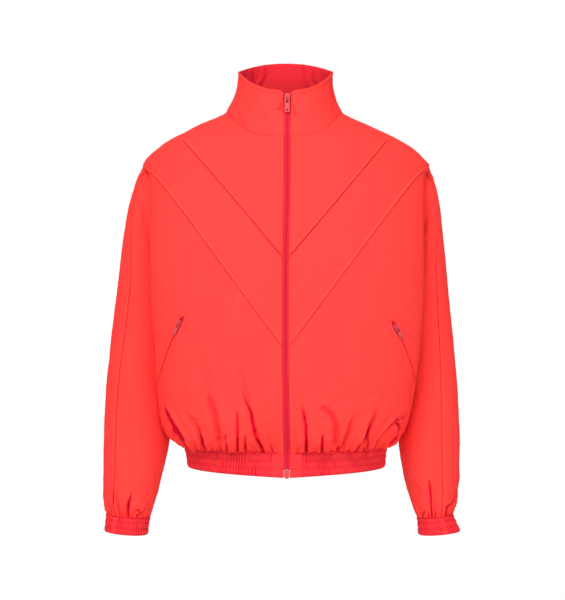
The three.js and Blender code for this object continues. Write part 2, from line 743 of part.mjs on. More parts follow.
// Sleeves, each in two pieces that meet at the long seam and under the arm. Their columns
// start from the armhole's rows, with one more between each two.
const seamRow = armhole.length - 2;
const seamStart = armhole[seamRow].degrees;
for (const side of ["right", "left"]) {
  const rings = [0, 0.5, 1, 2, 3, 4.5, 6.5, 8.5, 10, 11, 11.7, 12.4, cuffRing];
  const seamAt = (k) => mix(seamStart, ring["seam" + hand[side]](Math.max(1, k)), Math.min(1, k));
  // round the sleeve from the long seam, by the front, under the arm and the back, to the seam
  const front = withMiddles(armhole.slice(0, seamRow + 1).map((row) => row.degrees).reverse());
  const back = withMiddles([...armhole.map((row) => -row.degrees), seamStart]);
  const grid = rings.map((k) => [
    ...front.map((a) =>
      sleeveSurface(side, k, mix(seamAt(k), 180, (a - seamStart) / (180 - seamStart))),
    ),
    ...back.slice(1, -1).map((a) =>
      sleeveSurface(side, k, mix(-180, seamAt(k), (a + 180) / (seamStart + 180))),
    ),
  ]);
  const level = (k, p) => Math.abs(ringMiddle(side, k).z - p.z);
  const nearest = (p) => rings.reduce((best, k) => (level(k, p) < level(best, p) ? k : best));
  const core = (p) => ringMiddle(side, nearest(p));
  const sleeve = skin(grid, core, { wrap: true });
  const under = front.length - 1;
  const frontIndex = range(front.length);
  const backIndex = [...range(back.length - 1).map((j) => under + j), 0];
  const trim = [4, 2, 1, 1];
  add(`sleeve_front_${side}`, wall(columnsOf(sleeve, frontIndex), cloth, { trim }), nylon);
  add(`sleeve_back_${side}`, wall(columnsOf(sleeve, backIndex), cloth, { trim }), nylon);
}

// Elastic gathers: the outer face waves in and out, row by row between the stitch lines.
const wave = (place, row) => 0.55 + 0.45 * Math.cos(2 * Math.PI * place + 1.3 * row);

// The hem band runs from front edge to front edge and is plain beside the zip.
const sideTurn = 0.97; // the share of a quarter at which the flank ends and the side begins
function hemPoint(side, near, z) {
  // near runs from 0 at the zip to 1 at the side and 2 at the middle of the back
  const quarter = near < 1 ? near : 2 - near;
  const round = roundAt(quarter, sideTurn);
  if (near < 1) {
    const spread = Math.sin((Math.PI / 2) * Math.min(1, round));
    const edge = zipHalf + sign[side] * zipX(z);
    const [x, y] = bodyFront(side, mix(edge, flankWidth(side, z), spread), z, round);
    return new THREE.Vector3(sign[side] * x, y, z);
  }
  const [x, y] = bodyBack(side, round, z);
  return new THREE.Vector3(sign[side] * x, y, z);
}
{
  const wavesPerHalf = 26;
  const columns = even(-2, 2, wavesPerHalf * 4 + 1);
  const rows = [0, 0.12, 0.5, 0.88, 1];
  const grid = rows.map((up) =>
    columns.map((t) => {
      const near = 2 - Math.abs(t);
      const low = hemBottom - hemDip * (1 - Math.min(1, near)) ** 2.2;
      return hemPoint(t < 0 ? "right" : "left", near, mix(low, hemTop, up));
    }),
  );
  const lift = (i, j) => {
    if (i === 0 || i === rows.length - 1) return -0.6;
    const plain = smooth((2 - Math.abs(columns[j]) - 0.05) / 0.05);
    return (j + i) % 2 ? -1.3 * plain : 0;
  };
  add("hem_band", wall(skin(grid, bodyCore), elasticated, { lift, trim: [0, 1, 0, 0] }), band);
}

// Cuffs, plain where the long sleeve seam runs through.
for (const side of ["right", "left"]) {
  const waves = 18;
  const angles = range(waves * 2).map((i) => (i * 360) / (waves * 2));
  const rows = [0, 0.12, 0.5, 0.88, 1];
  const grid = rows.map((up) => {
    const k = mix(cuffEdgeRing, cuffRing, up);
    return angles.map((degrees) => ringPoint(side, k, degrees));
  });
  const core = (p) =>
    ringMiddle(side, mix(cuffRing, cuffEdgeRing, clamp01((-660 - p.z) / 28)));
  const lift = (i, j) => {
    if (i === 0 || i === rows.length - 1) return -0.5;
    const off = Math.abs(angles[j] - ring["seam" + hand[side]](cuffRing));
    const plain = smooth((off - 6) / 8);
    return (j + i) % 2 ? -1.3 * plain : 0;
  };
  const cuffSkin = skin(grid, core, { wrap: true });
  add(`cuff_${side}`, wall(cuffSkin, elasticated, { lift, trim: [0, 1, 0, 0] }), band);
}

// The stand collar, open at the zip. It meets every second column of the body.
{
  const around = (side) => {
    const second = (columns) =>
      columns.filter((_, i) => (columns.length - 1 - i) % 2 === 0 || i === 0);
    const front = second(frontColumns[side]).map((along) => neckFront * along);
    const back = second(backColumns[side]).map((along) => 1 - (1 - neckFront) * along);
    return [...front, ...back.reverse().slice(1)];
  };
  const rows = [0, 0.3, 0.65, 0.93, 1];
  const grid = rows.map((up) => [
    ...around("right").map((t) => collarSurface("right", up, t)),
    ...around("left").slice(0, -1).reverse().map((t) => collarSurface("left", up, t)),
  ]);
  const lift = (i) => (i === rows.length - 1 ? -0.5 : 0);
  add("collar", wall(skin(grid, collarCore), doubled, { lift, trim: [1, 0, 0, 0] }), nylon);
}

// The front zip lies between the two front edges.
// A place on the zip's line: the point on the cloth, the way up and the way out.
function zipPlace(z) {
  const on = (height) => {
    const neckZ = frontRows[neckRow].centre;
    if (height <= neckZ) {
      return new THREE.Vector3(zipX(height), bodyFront("left", zipHalf, height, 1)[1], height);
    }
    const up = (height - neckZ) / (collarTop.frontZ - neckZ);
    const a = collarSurface("right", up, 0);
    const b = collarSurface("left", up, 0);
    return new THREE.Vector3(zipX(height), (a.y + b.y) / 2, height);
  };
  const here = on(z);
  const up = on(z + 2).sub(on(z - 2)).normalize();
  const across = new THREE.Vector3(1, 0, 0);
  const out = across.clone().cross(up).normalize();
  return { here, up, out };
}

// A flat strip along the zip, between two distances from its centre line.
function zipStrip(from, to, low, high, outer, inner) {
  const heights = even(low, high, 18);
  const grid = heights.map((z) => {
    const { here, out } = zipPlace(z);
    return [from, to].map((x) =>
      here.clone().addScaledVector(out, outer).add(new THREE.Vector3(x, 0, 0)),
    );
  });
  const core = (p) => new THREE.Vector3(p.x, p.y + 40, p.z);
  return wall(skin(grid, core), outer - inner, { trim: [0, 0, 0, 0] });
}
const zipLow = hemBottom + 5.5;
const zipHigh = 22;
add("zip_tape_right", zipStrip(-4.4, -chainHalf - 0.3, zipLow, zipHigh + 3, -0.7, -1.5), tape);
add("zip_tape_left", zipStrip(chainHalf + 0.3, 4.4, zipLow, zipHigh + 3, -0.7, -1.5), tape);
add("zip_chain", zipStrip(-chainHalf, chainHalf, zipLow, zipHigh, 0.2, -1.6), tape);

// Metal parts, drawn with x across the zip, y up along it and z out of the cloth.
const wasm = await Module();
wasm.setup();
function solid(geometry) {
  const bare = (geometry.index ? geometry.toNonIndexed() : geometry).clone();
  bare.deleteAttribute("normal");
  bare.deleteAttribute("uv");
  const merged = mergeVertices(bare, 1e-4);
  return new wasm.Manifold(
    new wasm.Mesh({
      numProp: 3,
      vertProperties: merged.attributes.position.array,
      triVerts: new Uint32Array(merged.index.array),
    }),
  );
}
function geometryOf(manifold) {
  const mesh = manifold.getMesh();
  const geometry = new THREE.BufferGeometry();
  geometry.setAttribute("position", new THREE.Float32BufferAttribute(mesh.vertProperties, 3));
  geometry.setIndex(new THREE.BufferAttribute(mesh.triVerts, 1));
  return geometry;
}
function outline(points) {
  return new THREE.Shape(points.map(([x, y]) => new THREE.Vector2(x, y)));
}
function slab(shape, low, high) {
  const settings = { depth: high - low, bevelEnabled: false, curveSegments: 3 };
  return new THREE.ExtrudeGeometry(shape, settings).translate(0, 0, low);
}
function roundedPlate(halfWide, low, high, radius) {
  const shape = new THREE.Shape();
  shape.moveTo(-halfWide + radius, low);
  shape.lineTo(halfWide - radius, low);
  shape.absarc(halfWide - radius, low + radius, radius, -Math.PI / 2, 0);
  shape.lineTo(halfWide, high - radius);
  shape.absarc(halfWide - radius, high - radius, radius, 0, Math.PI / 2);
  shape.lineTo(-halfWide + radius, high);
  shape.absarc(-halfWide + radius, high - radius, radius, Math.PI / 2, Math.PI);
  shape.lineTo(-halfWide, low + radius);
  shape.absarc(-halfWide + radius, low + radius, radius, Math.PI, 1.5 * Math.PI);
  return shape;
}

// The slider: a shield-shaped plate with a bridge that carries the pull tab.
const bridge = { half: 0.9, low: -3.6, high: 3.6, thick: 1.1, under: 4.3, over: 5.4 };
const pivot = { y: 0.2, z: 3.35 };
function sliderGeometry() {
  const shield = outline([
    [-3.1, -5.6], [3.1, -5.6], [4.2, -1.5], [4.2, 3.2], [2.6, 5.6],
    [0, 6.4], [-2.6, 5.6], [-4.2, 3.2], [-4.2, -1.5],
  ]);
  const plate = solid(slab(shield, 0.6, 2.3));
  const arch = outline([
    [bridge.low, 2], [bridge.low, bridge.under + 0.3], [bridge.low + 0.9, bridge.over],
    [bridge.high - 0.9, bridge.over], [bridge.high, bridge.under + 0.3], [bridge.high, 2],
    [bridge.high - bridge.thick, 2], [bridge.high - bridge.thick, bridge.under],
    [bridge.low + bridge.thick, bridge.under], [bridge.low + bridge.thick, 2],
  ]);
  const beam = slab(arch, -bridge.half, bridge.half);
  // the arch is drawn along y and z, so its drawing plane is turned to stand across x
  beam.applyMatrix4(
    new THREE.Matrix4().makeBasis(
      new THREE.Vector3(0, 1, 0),
      new THREE.Vector3(0, 0, 1),
      new THREE.Vector3(1, 0, 0),
    ),
  );
  return geometryOf(plate.add(solid(beam)));
}

// The pull tab, drawn hanging down, with its cross bar at the pivot.
const pull = {
  long: 26, half: 3.7, thick: 1.1,
  windowHalf: 1.9, windowLow: 10.5,
  holeAt: 22.4, holeRadius: 1.6,
};
function pullGeometry() {
  const low = pivot.z - pull.thick / 2;
  const shape = roundedPlate(pull.half, pivot.y - pull.long, pivot.y + 0.55, 0.5);
  const slot = new THREE.Path(
    roundedPlate(pull.windowHalf, pivot.y - pull.windowLow, pivot.y - 0.55, 0.4).getPoints(2),
  );
  const round = new THREE.Path();
  round.absarc(0, pivot.y - pull.holeAt, pull.holeRadius, 0, 2 * Math.PI, true);
  const hole = new THREE.Path(round.getPoints(4));
  shape.holes.push(slot, hole);
  return slab(shape, low, low + pull.thick);
}

// A group whose own axes are the zip's: x across, y up along it, z out.
function placed({ here, up, out }, size = 1) {
  const group = new THREE.Group();
  const across = up.clone().cross(out).normalize();
  group.matrixAutoUpdate = false;
  group.matrix.makeBasis(across, up, out).scale(new THREE.Vector3(size, size, size)).setPosition(here);
  jacket.add(group);
  return group;
}
function sliderAndPull(place, names, size = 1) {
  const group = placed(place, size);
  add(names.slider, sliderGeometry(), enamel, group);
  add(names.pull, pullGeometry(), enamel, group);
}
sliderAndPull(zipPlace(17), { slider: "zip_slider", pull: "zip_pull" });

// The box at the foot of the zip, with the pin that shows below the hem.
{
  const group = placed(zipPlace(hemBottom - 0.5));
  const box = solid(slab(roundedPlate(4.3, -5.5, 5.6, 0.8), -1.6, 1.0));
  const pin = solid(slab(roundedPlate(2.6, -7.5, -5, 0.8), -1.4, 0.8));
  add("zip_box", geometryOf(box.add(pin)), enamel, group);
}

// Pockets: two cloth lips that meet over a closed zip and part round its slider.
// A place on a pocket's line: t runs from its top to its lower end.
function pocketPlace(side, t) {
  const pocket = pockets[side];
  const on = (along, across) => {
    const z = mix(pocket.topZ, pocket.endZ, along);
    const share = mix(pocket.topShare, pocket.endShare, Math.max(0, along) ** 0.9);
    const x = Math.min(share * flankWidth(side, z) + across, flankWidth(side, z) * 0.9995);
    const [px, py] = bodyFront(side, x, z, 1);
    return new THREE.Vector3(sign[side] * px, py, z);
  };
  const here = on(t, 0);
  const up = on(t - 0.02, 0).sub(on(t + 0.02, 0)).normalize();
  const towardsSide = on(t, 0).sub(on(t, -3)).normalize();
  const out = towardsSide.clone().cross(up).multiplyScalar(sign[side]).normalize();
  const across = up.clone().cross(out).multiplyScalar(sign[side]).normalize();
  return { here, up, out, across };
}
const pocketCurl = 100; // how roundly the body turns away beside a pocket, as a radius
function besidePocket(side, t, offset, raise) {
  const { here, across, out } = pocketPlace(side, t);
  return here
    .addScaledVector(across, offset)
    .addScaledVector(out, raise - offset ** 2 / (2 * pocketCurl));
}
const pocketSliderSize = 0.8;
const pocketSliderRaise = 0.9;
for (const side of ["right", "left"]) {
  const long = pocketPlace(side, 0).here.distanceTo(pocketPlace(side, 1).here);
  const core = (p) => new THREE.Vector3(p.x * 0.5, 0, p.z);
  const mouth = (t) => {
    const s = (t * long) / mouthLong;
    return s < 1 ? mouthHalf * Math.sin(Math.PI * s) ** 0.5 : 0;
  };
  const steps = [0, 0.02, 0.06, 0.12, 0.18, 0.22, 0.26, 0.4, 0.55, 0.7, 0.8, 0.88, 0.94, 1];
  const strip = (lines, raise, thick) => {
    const grid = steps.map((t) => lines(t).map((offset) => besidePocket(side, t, offset, raise)));
    return wall(skin(grid, core), thick, { trim: [0, 0, 0, 0] });
  };
  const lip = (way) => (t) => {
    const inner = Math.max(0.3, mouth(t));
    return [inner, inner + lipWide / 2, inner + lipWide].map((d) => way * d);
  };
  add(`pocket_lip_front_${side}`, strip(lip(-1), lipGap + lipThick, lipThick), nylon);
  add(`pocket_lip_side_${side}`, strip(lip(1), lipGap + lipThick, lipThick), nylon);
  const place = pocketPlace(side, mouthLong / 2 / long);
  place.here.addScaledVector(place.out, pocketSliderRaise);
  const names = { slider: `pocket_slider_${side}`, pull: `pocket_pull_${side}` };
  sliderAndPull(place, names, pocketSliderSize);
}

export default jacket;
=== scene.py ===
import bpy, math
import numpy as np
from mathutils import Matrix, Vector


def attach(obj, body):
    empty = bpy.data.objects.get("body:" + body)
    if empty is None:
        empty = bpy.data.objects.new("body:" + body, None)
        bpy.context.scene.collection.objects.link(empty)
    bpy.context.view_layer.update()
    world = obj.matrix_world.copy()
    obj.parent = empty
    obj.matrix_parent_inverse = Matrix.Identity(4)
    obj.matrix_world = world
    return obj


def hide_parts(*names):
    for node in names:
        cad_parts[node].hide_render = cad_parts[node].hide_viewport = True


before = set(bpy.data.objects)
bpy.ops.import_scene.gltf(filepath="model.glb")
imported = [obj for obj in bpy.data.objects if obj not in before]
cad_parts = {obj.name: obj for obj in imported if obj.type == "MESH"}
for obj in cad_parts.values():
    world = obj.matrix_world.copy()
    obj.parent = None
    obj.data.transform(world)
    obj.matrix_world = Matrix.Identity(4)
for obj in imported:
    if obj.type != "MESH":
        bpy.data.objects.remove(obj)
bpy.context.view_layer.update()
mm = 0.001
sign = {"right": -1.0, "left": 1.0}
print("frame loaded")

# Sizes of the cut, in millimetres. The body, sleeve and collar surfaces are the frame's own.
cut = {
    "cloth": 0.9, "collarCloth": 1.6, "zipHalf": 4.7, "hemTop": -546.0, "hemBottom": -578.0, "hemDip": 7.0,
    "collarCorner": 3.4, "dentStart": 1.35, "flankShare": 0.84, "neckFront": 0.42,
}


def table(columns, *rows):
    # a table as one array for each named column
    return dict(zip(columns.split(), np.array(rows, float).T))


body = table(
    "z flankRight flankLeft flankY edge front backX backY back sideX sideY corner",
    (-578, 162, 163, 0, 114, 114, 163, 10, 101, 163, 5, 2.25),
    (-546, 168, 167, 0, 118, 118, 167, 10, 104, 167, 5, 2.25),
    (-537, 181, 179, -5, 121, 130, 177, 18, 114, 175, 7, 2.3),
    (-529, 191, 187, -10, 124, 138, 185, 28, 120, 179, 9, 2.35),
    (-515, 198, 195, -18, 130, 144, 190, 42, 125, 181, 12, 2.4),
    (-495, 203, 201, -25, 136, 148, 193, 54, 129, 181, 16, 2.4),
    (-465, 207, 206, -33, 142, 149, 196, 66, 131, 180, 20, 2.4),
    (-430, 211, 211, -40, 145, 148, 198, 74, 131, 178, 23, 2.4),
    (-380, 214, 217, -45, 146, 147, 199, 80, 131, 177, 25, 2.4),
    (-300, 219, 222, -48, 146, 147, 200, 84, 131, 180, 25, 2.4),
    (-250, 220, 223, -50, 145, 146, 204, 83, 131, 180, 25, 2.35),
    (-200, 220, 223, -52, 141, 142, 210, 80, 130, 180, 25, 2.3),
    (-150, 220, 223, -48, 135, 136, 216, 68, 127, 180, 25, 2.2),
    (-120, 221, 224, -37, 130, 131, 220, 50, 124, 180, 25, 2.1),
    (-100, 224, 227, -20, 125, 126, 226, 28, 121, 180, 25, 2.05),
    (-84, 236, 236, 0, 120, 120, 236, 0, 118, 180, 25, 2),
    (-74, 231, 228, 0, 116, 116, 229, 0, 115, 180, 25, 2),
    (-57, 213, 211, 0, 109, 109, 212, 0, 109, 180, 25, 2),
    (-41, 190, 185, 0, 100, 100, 188, 0, 103, 180, 25, 2),
    (-28, 165, 157, 0, 87, 87, 161, 0, 98, 160, 20, 2),
    (-15, 139, 130, 0, 72, 72, 135, 0, 92, 130, 15, 2),
    (-5, 115, 108, 0, 59, 59, 112, 0, 87, 110, 10, 2),
    (6, 98, 92, 0, 47, 47, 95, 0, 81, 90, 5, 2),
    (20, 97, 91, 0, 44, 44, 94, 0, 74, 90, 5, 2),
)
armhole = table(
    "z x front back degrees",
    (-300, 181, 25, 25, 180),
    (-286, 187, -2, 43, 150),
    (-246, 197, -23, 54, 120),
    (-188, 206, -35, 56, 88),
    (-131, 212, -30, 42, 55),
    (-92, 222, -9, 9, 22),
    (-84, 236, 0, 0, 0),
)
zipLine = table(
    "z x",
    (-578, 0.9), (-540, 1.2), (-470, -0.2), (-380, -1.3), (-250, -1.0), (-190, 0.1), (-110, 1.4),
    (-45, 1.6), (29, 1.8),
)
shoulderSeam = table(
    "z share",
    (-84, 1.0), (-80, 0.972), (-76, 0.952), (-67, 0.914), (-57, 0.87), (-47, 0.836), (-30, 0.812),
    (-15, 0.79), (-5, 0.79),
)
# rows of cloth: the height at the zip, at the middle of the back and at the side
clothRows = table(
    "centre back side bend hook",
    (-546, -546, -546, 1, 0.06), (-541, -541, -541, 1, 0.06), (-535, -535, -535, 1, 0.06),
    (-527, -527, -526, 1, 0.06), (-516, -514, -512, 1, 0.06), (-502, -492, -490, 1, 0.06),
    (-486, -463, -460, 1, 0.06), (-468, -425, -420, 1, 0.06), (-450, -378, -370, 1, 0.06),
    (-433, -338, -325, 1, 0.06), (-422, -312, -300, 1, 0.06), (-411, -283, -286, 1, 0.06),
    (-401, -252, -246, 1, 0.06), (-392, -210, -188, 1, 0.06), (-385, -160, -131, 1, 0.06),
    (-380, -122, -92, 1, 0.06), (-378, -100, -84, 1, 0.06), (-308, -72, -66, 1, 0.03),
    (-238, -45, -47, 1, 0), (-165, -22, -33, 1.3, 0), (-95, 0, -18, 2.1, 0), (-45, 20, -5, 3.3, 0),
)
lowerSeam, upperSeam, neckRow = 16, 18, 21
sleeve = table(
    "outRight outLeft outY outZ inRight inLeft inY inZ front back lean seamRight seamLeft round",
    (242, 240, 4, -98, 184, 183, 29, -307, 46, 50, 8, 24, 30, 2),
    (250, 247, 8, -120, 187, 185, 31, -315, 53, 56, 7, 36, 42, 2.05),
    (260, 254, 14, -152, 189, 187, 32, -325, 58, 60, 5, 48, 53, 2.1),
    (269, 260, 19, -200, 190, 188, 33, -338, 60, 61, 3, 60, 61, 2.15),
    (276, 266, 23, -252, 191, 189, 33, -358, 60, 62, 1, 65, 65, 2.2),
    (285, 273, 25, -318, 191, 189, 31, -390, 58, 61, 0, 64, 67, 2.2),
    (293, 280, 24, -388, 191, 189, 29, -432, 57, 60, 0, 60, 70, 2.2),
    (299, 285, 20, -458, 191, 188, 24, -480, 56, 59, 0, 58, 72, 2.2),
    (301, 287, 13, -526, 193, 187, 17, -533, 54, 57, 0, 57, 73, 2.2),
    (301, 286, 5, -588, 204, 194, 9, -590, 51, 53, 0, 59, 74, 2.15),
    (301, 282, 0, -628, 215, 205, 3, -633, 45, 46, 0, 60, 75, 2.1),
    (299, 278, -2, -647, 221, 212, 0, -653, 38, 39, 0, 60, 76, 2.05),
    (296, 275, -3, -656, 224, 216, -1, -663, 33, 34, 0, 59, 76, 2),
    (299, 287, -5, -684, 228, 218, -3, -691, 32, 33, 0, 58, 75, 2),
)
cuffRing, cuffEdge, seamStart = 13.0, 14.0, 10.0
collarTop = {
    "halfRight": 78, "halfLeft": 77, "middleY": -8, "front": 77, "back": 70,
    "frontZ": 29, "sideZ": 71, "backZ": 95, "bow": 5,
}


def curve(rows, at, key):
    # a cubic through the rows that never overshoots: tangents are the harmonic mean of slopes
    y = rows[key]
    x = np.arange(len(y), dtype=float) if at is None else rows[at]
    h = np.diff(x)
    d = np.diff(y) / h
    inner = np.zeros(len(y) - 2)
    up = d[:-1] * d[1:] > 0
    w1, w2 = 2 * h[1:] + h[:-1], h[1:] + 2 * h[:-1]
    inner[up] = (w1 + w2)[up] / (w1[up] / d[:-1][up] + w2[up] / d[1:][up])
    m = np.concatenate([d[:1], inner, d[-1:]])

    def value(v):
        v = np.clip(v, x[0], x[-1])
        i = np.clip(np.searchsorted(x, v, side="left") - 1, 0, len(h) - 1)
        t = (v - x[i]) / h[i]
        return ((2 * t**3 - 3 * t**2 + 1) * y[i] + (t**3 - 2 * t**2 + t) * h[i] * m[i]
                + (3 * t**2 - 2 * t**3) * y[i + 1] + (t**3 - t**2) * h[i] * m[i + 1])
    return value


section = {key: curve(body, "z", key) for key in body if key != "z"}
armholeAt = {key: curve(armhole, "z", key) for key in ("x", "front", "back")}
turned = {key: armhole[key][::-1] for key in armhole}
armholeZ = curve(turned, "degrees", "z")
rowAt = {key: curve(clothRows, None, key) for key in clothRows}
ringAt = {key: curve(sleeve, None, key) for key in sleeve}
zipX = curve(zipLine, "z", "x")
seamShare = curve(shoulderSeam, "z", "share")
underarmZ, shoulderZ = -300.0, -84.0


def mix(a, b, t):
    return a + (b - a) * t


def smooth(t):
    t = np.clip(t, 0, 1)
    return t * t * (3 - 2 * t)


def stack(x, y, z):
    return np.stack(np.broadcast_arrays(x, y, z), axis=-1).astype(float)


def unit(v):
    return v / np.maximum(np.linalg.norm(v, axis=-1, keepdims=True), 1e-9)


def bodyFront(side, x, z, turn):
    # a superellipse quarter from the zip to the flank, then a smooth step in to the side point
    flank = section["flank" + side.capitalize()](z)
    flankY = section["flankY"](z)
    share = np.minimum(1, x / flank)
    corner = section["corner"](z)
    bulge = np.maximum(0, 1 - share**corner) ** (1 / corner)
    depth = mix(section["edge"](z), section["front"](z), smooth(x / 45))
    below = z <= underarmZ
    edgeX = np.where(below, section["sideX"](z), armholeAt["x"](z))
    edgeY = np.where(below, section["sideY"](z), armholeAt["front"](z))
    t = turn - 1
    px = np.where(turn > 1, mix(flank, edgeX, smooth(t * cut["dentStart"])), x)
    py = np.where(turn > 1, mix(flankY, edgeY, t), flankY - (depth + flankY) * bulge)
    return px, py


def bodyBack(side, turn, z):
    # the same on the back, and over the shoulder ridge to the shoulder seam
    flank = section["flank" + side.capitalize()](z)
    high = z > shoulderZ
    wide = np.where(high, flank, section["backX"](z))
    backY = section["backY"](z)
    below = z <= underarmZ
    edgeX = np.where(below, section["sideX"](z), armholeAt["x"](z))
    edgeY = np.where(below, section["sideY"](z), armholeAt["back"](z))
    power = 2 / section["corner"](z)
    a = (np.pi / 2) * np.minimum(turn, 1)
    x = wide * np.sin(a) ** power
    y = backY + (section["back"](z) - backY) * np.maximum(np.cos(a), 0) ** power
    t = turn - 1
    x = np.where(turn > 1, mix(wide, edgeX, smooth(t * cut["dentStart"])), x)
    y = np.where(turn > 1, mix(backY, edgeY, t), y)
    over = np.sin((np.pi / 2) * np.clip(2 - turn, 0, 1))
    fx, fy = bodyFront(side, flank * over, z, np.ones_like(over))
    ridge = (turn > 1) & high
    return np.where(ridge, fx, x), np.where(ridge, fy, y)


def flankAt(z):
    t = np.clip((z - underarmZ) / (shoulderZ - underarmZ), 0, 1)
    return np.where(z < shoulderZ, mix(cut["flankShare"], 1, t**3), 1.0)


def turnAt(along, turn):
    return np.where(along <= turn, along / turn, 1 + (along - turn) / np.maximum(1 - turn, 1e-9))


def frontPoint(side, row, along):
    # rows climb from the zip to the side, and the two diagonal seams are rows themselves
    row, along = np.broadcast_arrays(np.asarray(row, float), np.asarray(along, float))
    centre, end = rowAt["centre"](row), rowAt["side"](row)
    low = row <= lowerSeam
    turn = np.where(low, turnAt(along, flankAt(end)), along)
    reach = section["flank" + side.capitalize()](end) * np.where(low, 1, seamShare(end))
    spread = np.sin((np.pi / 2) * np.minimum(1, turn))
    climb = spread ** rowAt["bend"](row) + rowAt["hook"](row) * spread * (1 - spread**8)
    z = mix(centre, end, climb)
    edge = cut["zipHalf"] + sign[side] * zipX(z)
    flank = section["flank" + side.capitalize()](z)
    x = np.minimum(mix(edge, reach, spread), flank * 0.9999)
    x = np.where((turn >= 1) & low, flank, x)
    px, py = bodyFront(side, x, z, np.where(low, turn, 1))
    return stack(sign[side] * px, py, z)


def backPoint(side, row, along):
    row, along = np.broadcast_arrays(np.asarray(row, float), np.asarray(along, float))
    centre, end = rowAt["back"](row), rowAt["side"](row)
    low = row <= lowerSeam
    over = 2 - (2 / np.pi) * np.arcsin(np.clip(seamShare(end), 0, 1))
    turn = np.where(low, turnAt(along, flankAt(end)), along * over)
    z = mix(centre, end, along**1.8)
    px, py = bodyBack(side, turn, z)
    return stack(sign[side] * px, py, z)


def ringPoint(side, k, degrees):
    # ring 0 is the armhole, and the others are tilted superellipses between two edge points
    k, degrees = np.broadcast_arrays(np.asarray(k, float), np.asarray(degrees, float))
    kk = np.maximum(k - 1, 0)
    a = np.radians(degrees)
    power = 2 / ringAt["round"](kk)
    along = np.sign(np.cos(a)) * np.abs(np.cos(a)) ** power
    across = np.abs(np.sin(a)) ** power
    out, inner = ringAt["out" + side.capitalize()](kk), ringAt["in" + side.capitalize()](kk)
    depth = np.where(np.sin(a) > 0, -ringAt["front"](kk), ringAt["back"](kk))
    share = (1 + along) / 2
    ring = stack(
        sign[side] * (mix(inner, out, share) + ringAt["lean"](kk) * across),
        mix(ringAt["inY"](kk), ringAt["outY"](kk), share) + depth * across,
        mix(ringAt["inZ"](kk), ringAt["outZ"](kk), share),
    )
    z = armholeZ(np.abs(degrees))
    y = np.where(degrees > 0, armholeAt["front"](z), armholeAt["back"](z))
    hole = stack(sign[side] * armholeAt["x"](z), y, z)
    return mix(hole, ring, np.minimum(k, 1)[..., None])


def ringMiddle(side, k):
    return (ringPoint(side, k, 0.0) + ringPoint(side, k, 180.0)) / 2


def neckPoint(side, around):
    front = frontPoint(side, neckRow, np.clip(around / cut["neckFront"], 0, 1))
    back = backPoint(side, neckRow, np.clip((1 - around) / (1 - cut["neckFront"]), 0, 1))
    return np.where((around <= cut["neckFront"])[..., None], front, back)


def levelOut(p):
    return unit(stack(p[..., 0] * 0.5, p[..., 1], 0 * p[..., 2]))


def collarPoint(side, up, around):
    # straight from the neck seam to the top edge, bowed inwards between them
    up, around = np.broadcast_arrays(np.asarray(up, float), np.asarray(around, float))
    low = neckPoint(side, around)
    a = np.pi * around
    facing = np.cos(a)
    depth = np.where(a < np.pi / 2, collarTop["front"], collarTop["back"])
    rise = np.abs(facing) ** 1.5
    z = np.where(facing > 0, mix(collarTop["sideZ"], collarTop["frontZ"], rise),
                 mix(collarTop["sideZ"], collarTop["backZ"], rise))
    spread = np.sin(a) ** 0.92
    half = collarTop["half" + side.capitalize()]
    edge = cut["zipHalf"] + sign[side] * zipX(z) + 1.5
    x = np.where(around < 0.5, mix(edge, half, spread), half * spread)
    z = z - cut["collarCorner"] * (1 - smooth((x - edge) / 7)) * (around < 0.5)
    high = stack(sign[side] * x, collarTop["middleY"] - depth * facing, z)
    bow = collarTop["bow"] * np.sin(np.pi * up) * smooth(around * 4)
    point = mix(low, high, up[..., None])
    return point - levelOut(point) * bow[..., None]


# Fields that press folds into the cloth. Each gives millimetres, outwards positive.
def noise(x, y, seed, size):
    # smooth random field: a seeded grid of numbers, blended with smooth steps between them
    grid = np.random.default_rng(seed).uniform(-1, 1, (64, 64))
    u, v = x / size, y / size
    i, j = np.floor(u).astype(int), np.floor(v).astype(int)
    s, t = smooth(u - i), smooth(v - j)
    a, b = grid[i % 64, j % 64], grid[(i + 1) % 64, j % 64]
    c, d = grid[i % 64, (j + 1) % 64], grid[(i + 1) % 64, (j + 1) % 64]
    return mix(mix(a, b, s), mix(c, d, s), t)


def ripple(x, y, seed, size):
    return noise(x, y, seed, size) + 0.5 * noise(x + 31, y, seed + 1, size / 2.1)


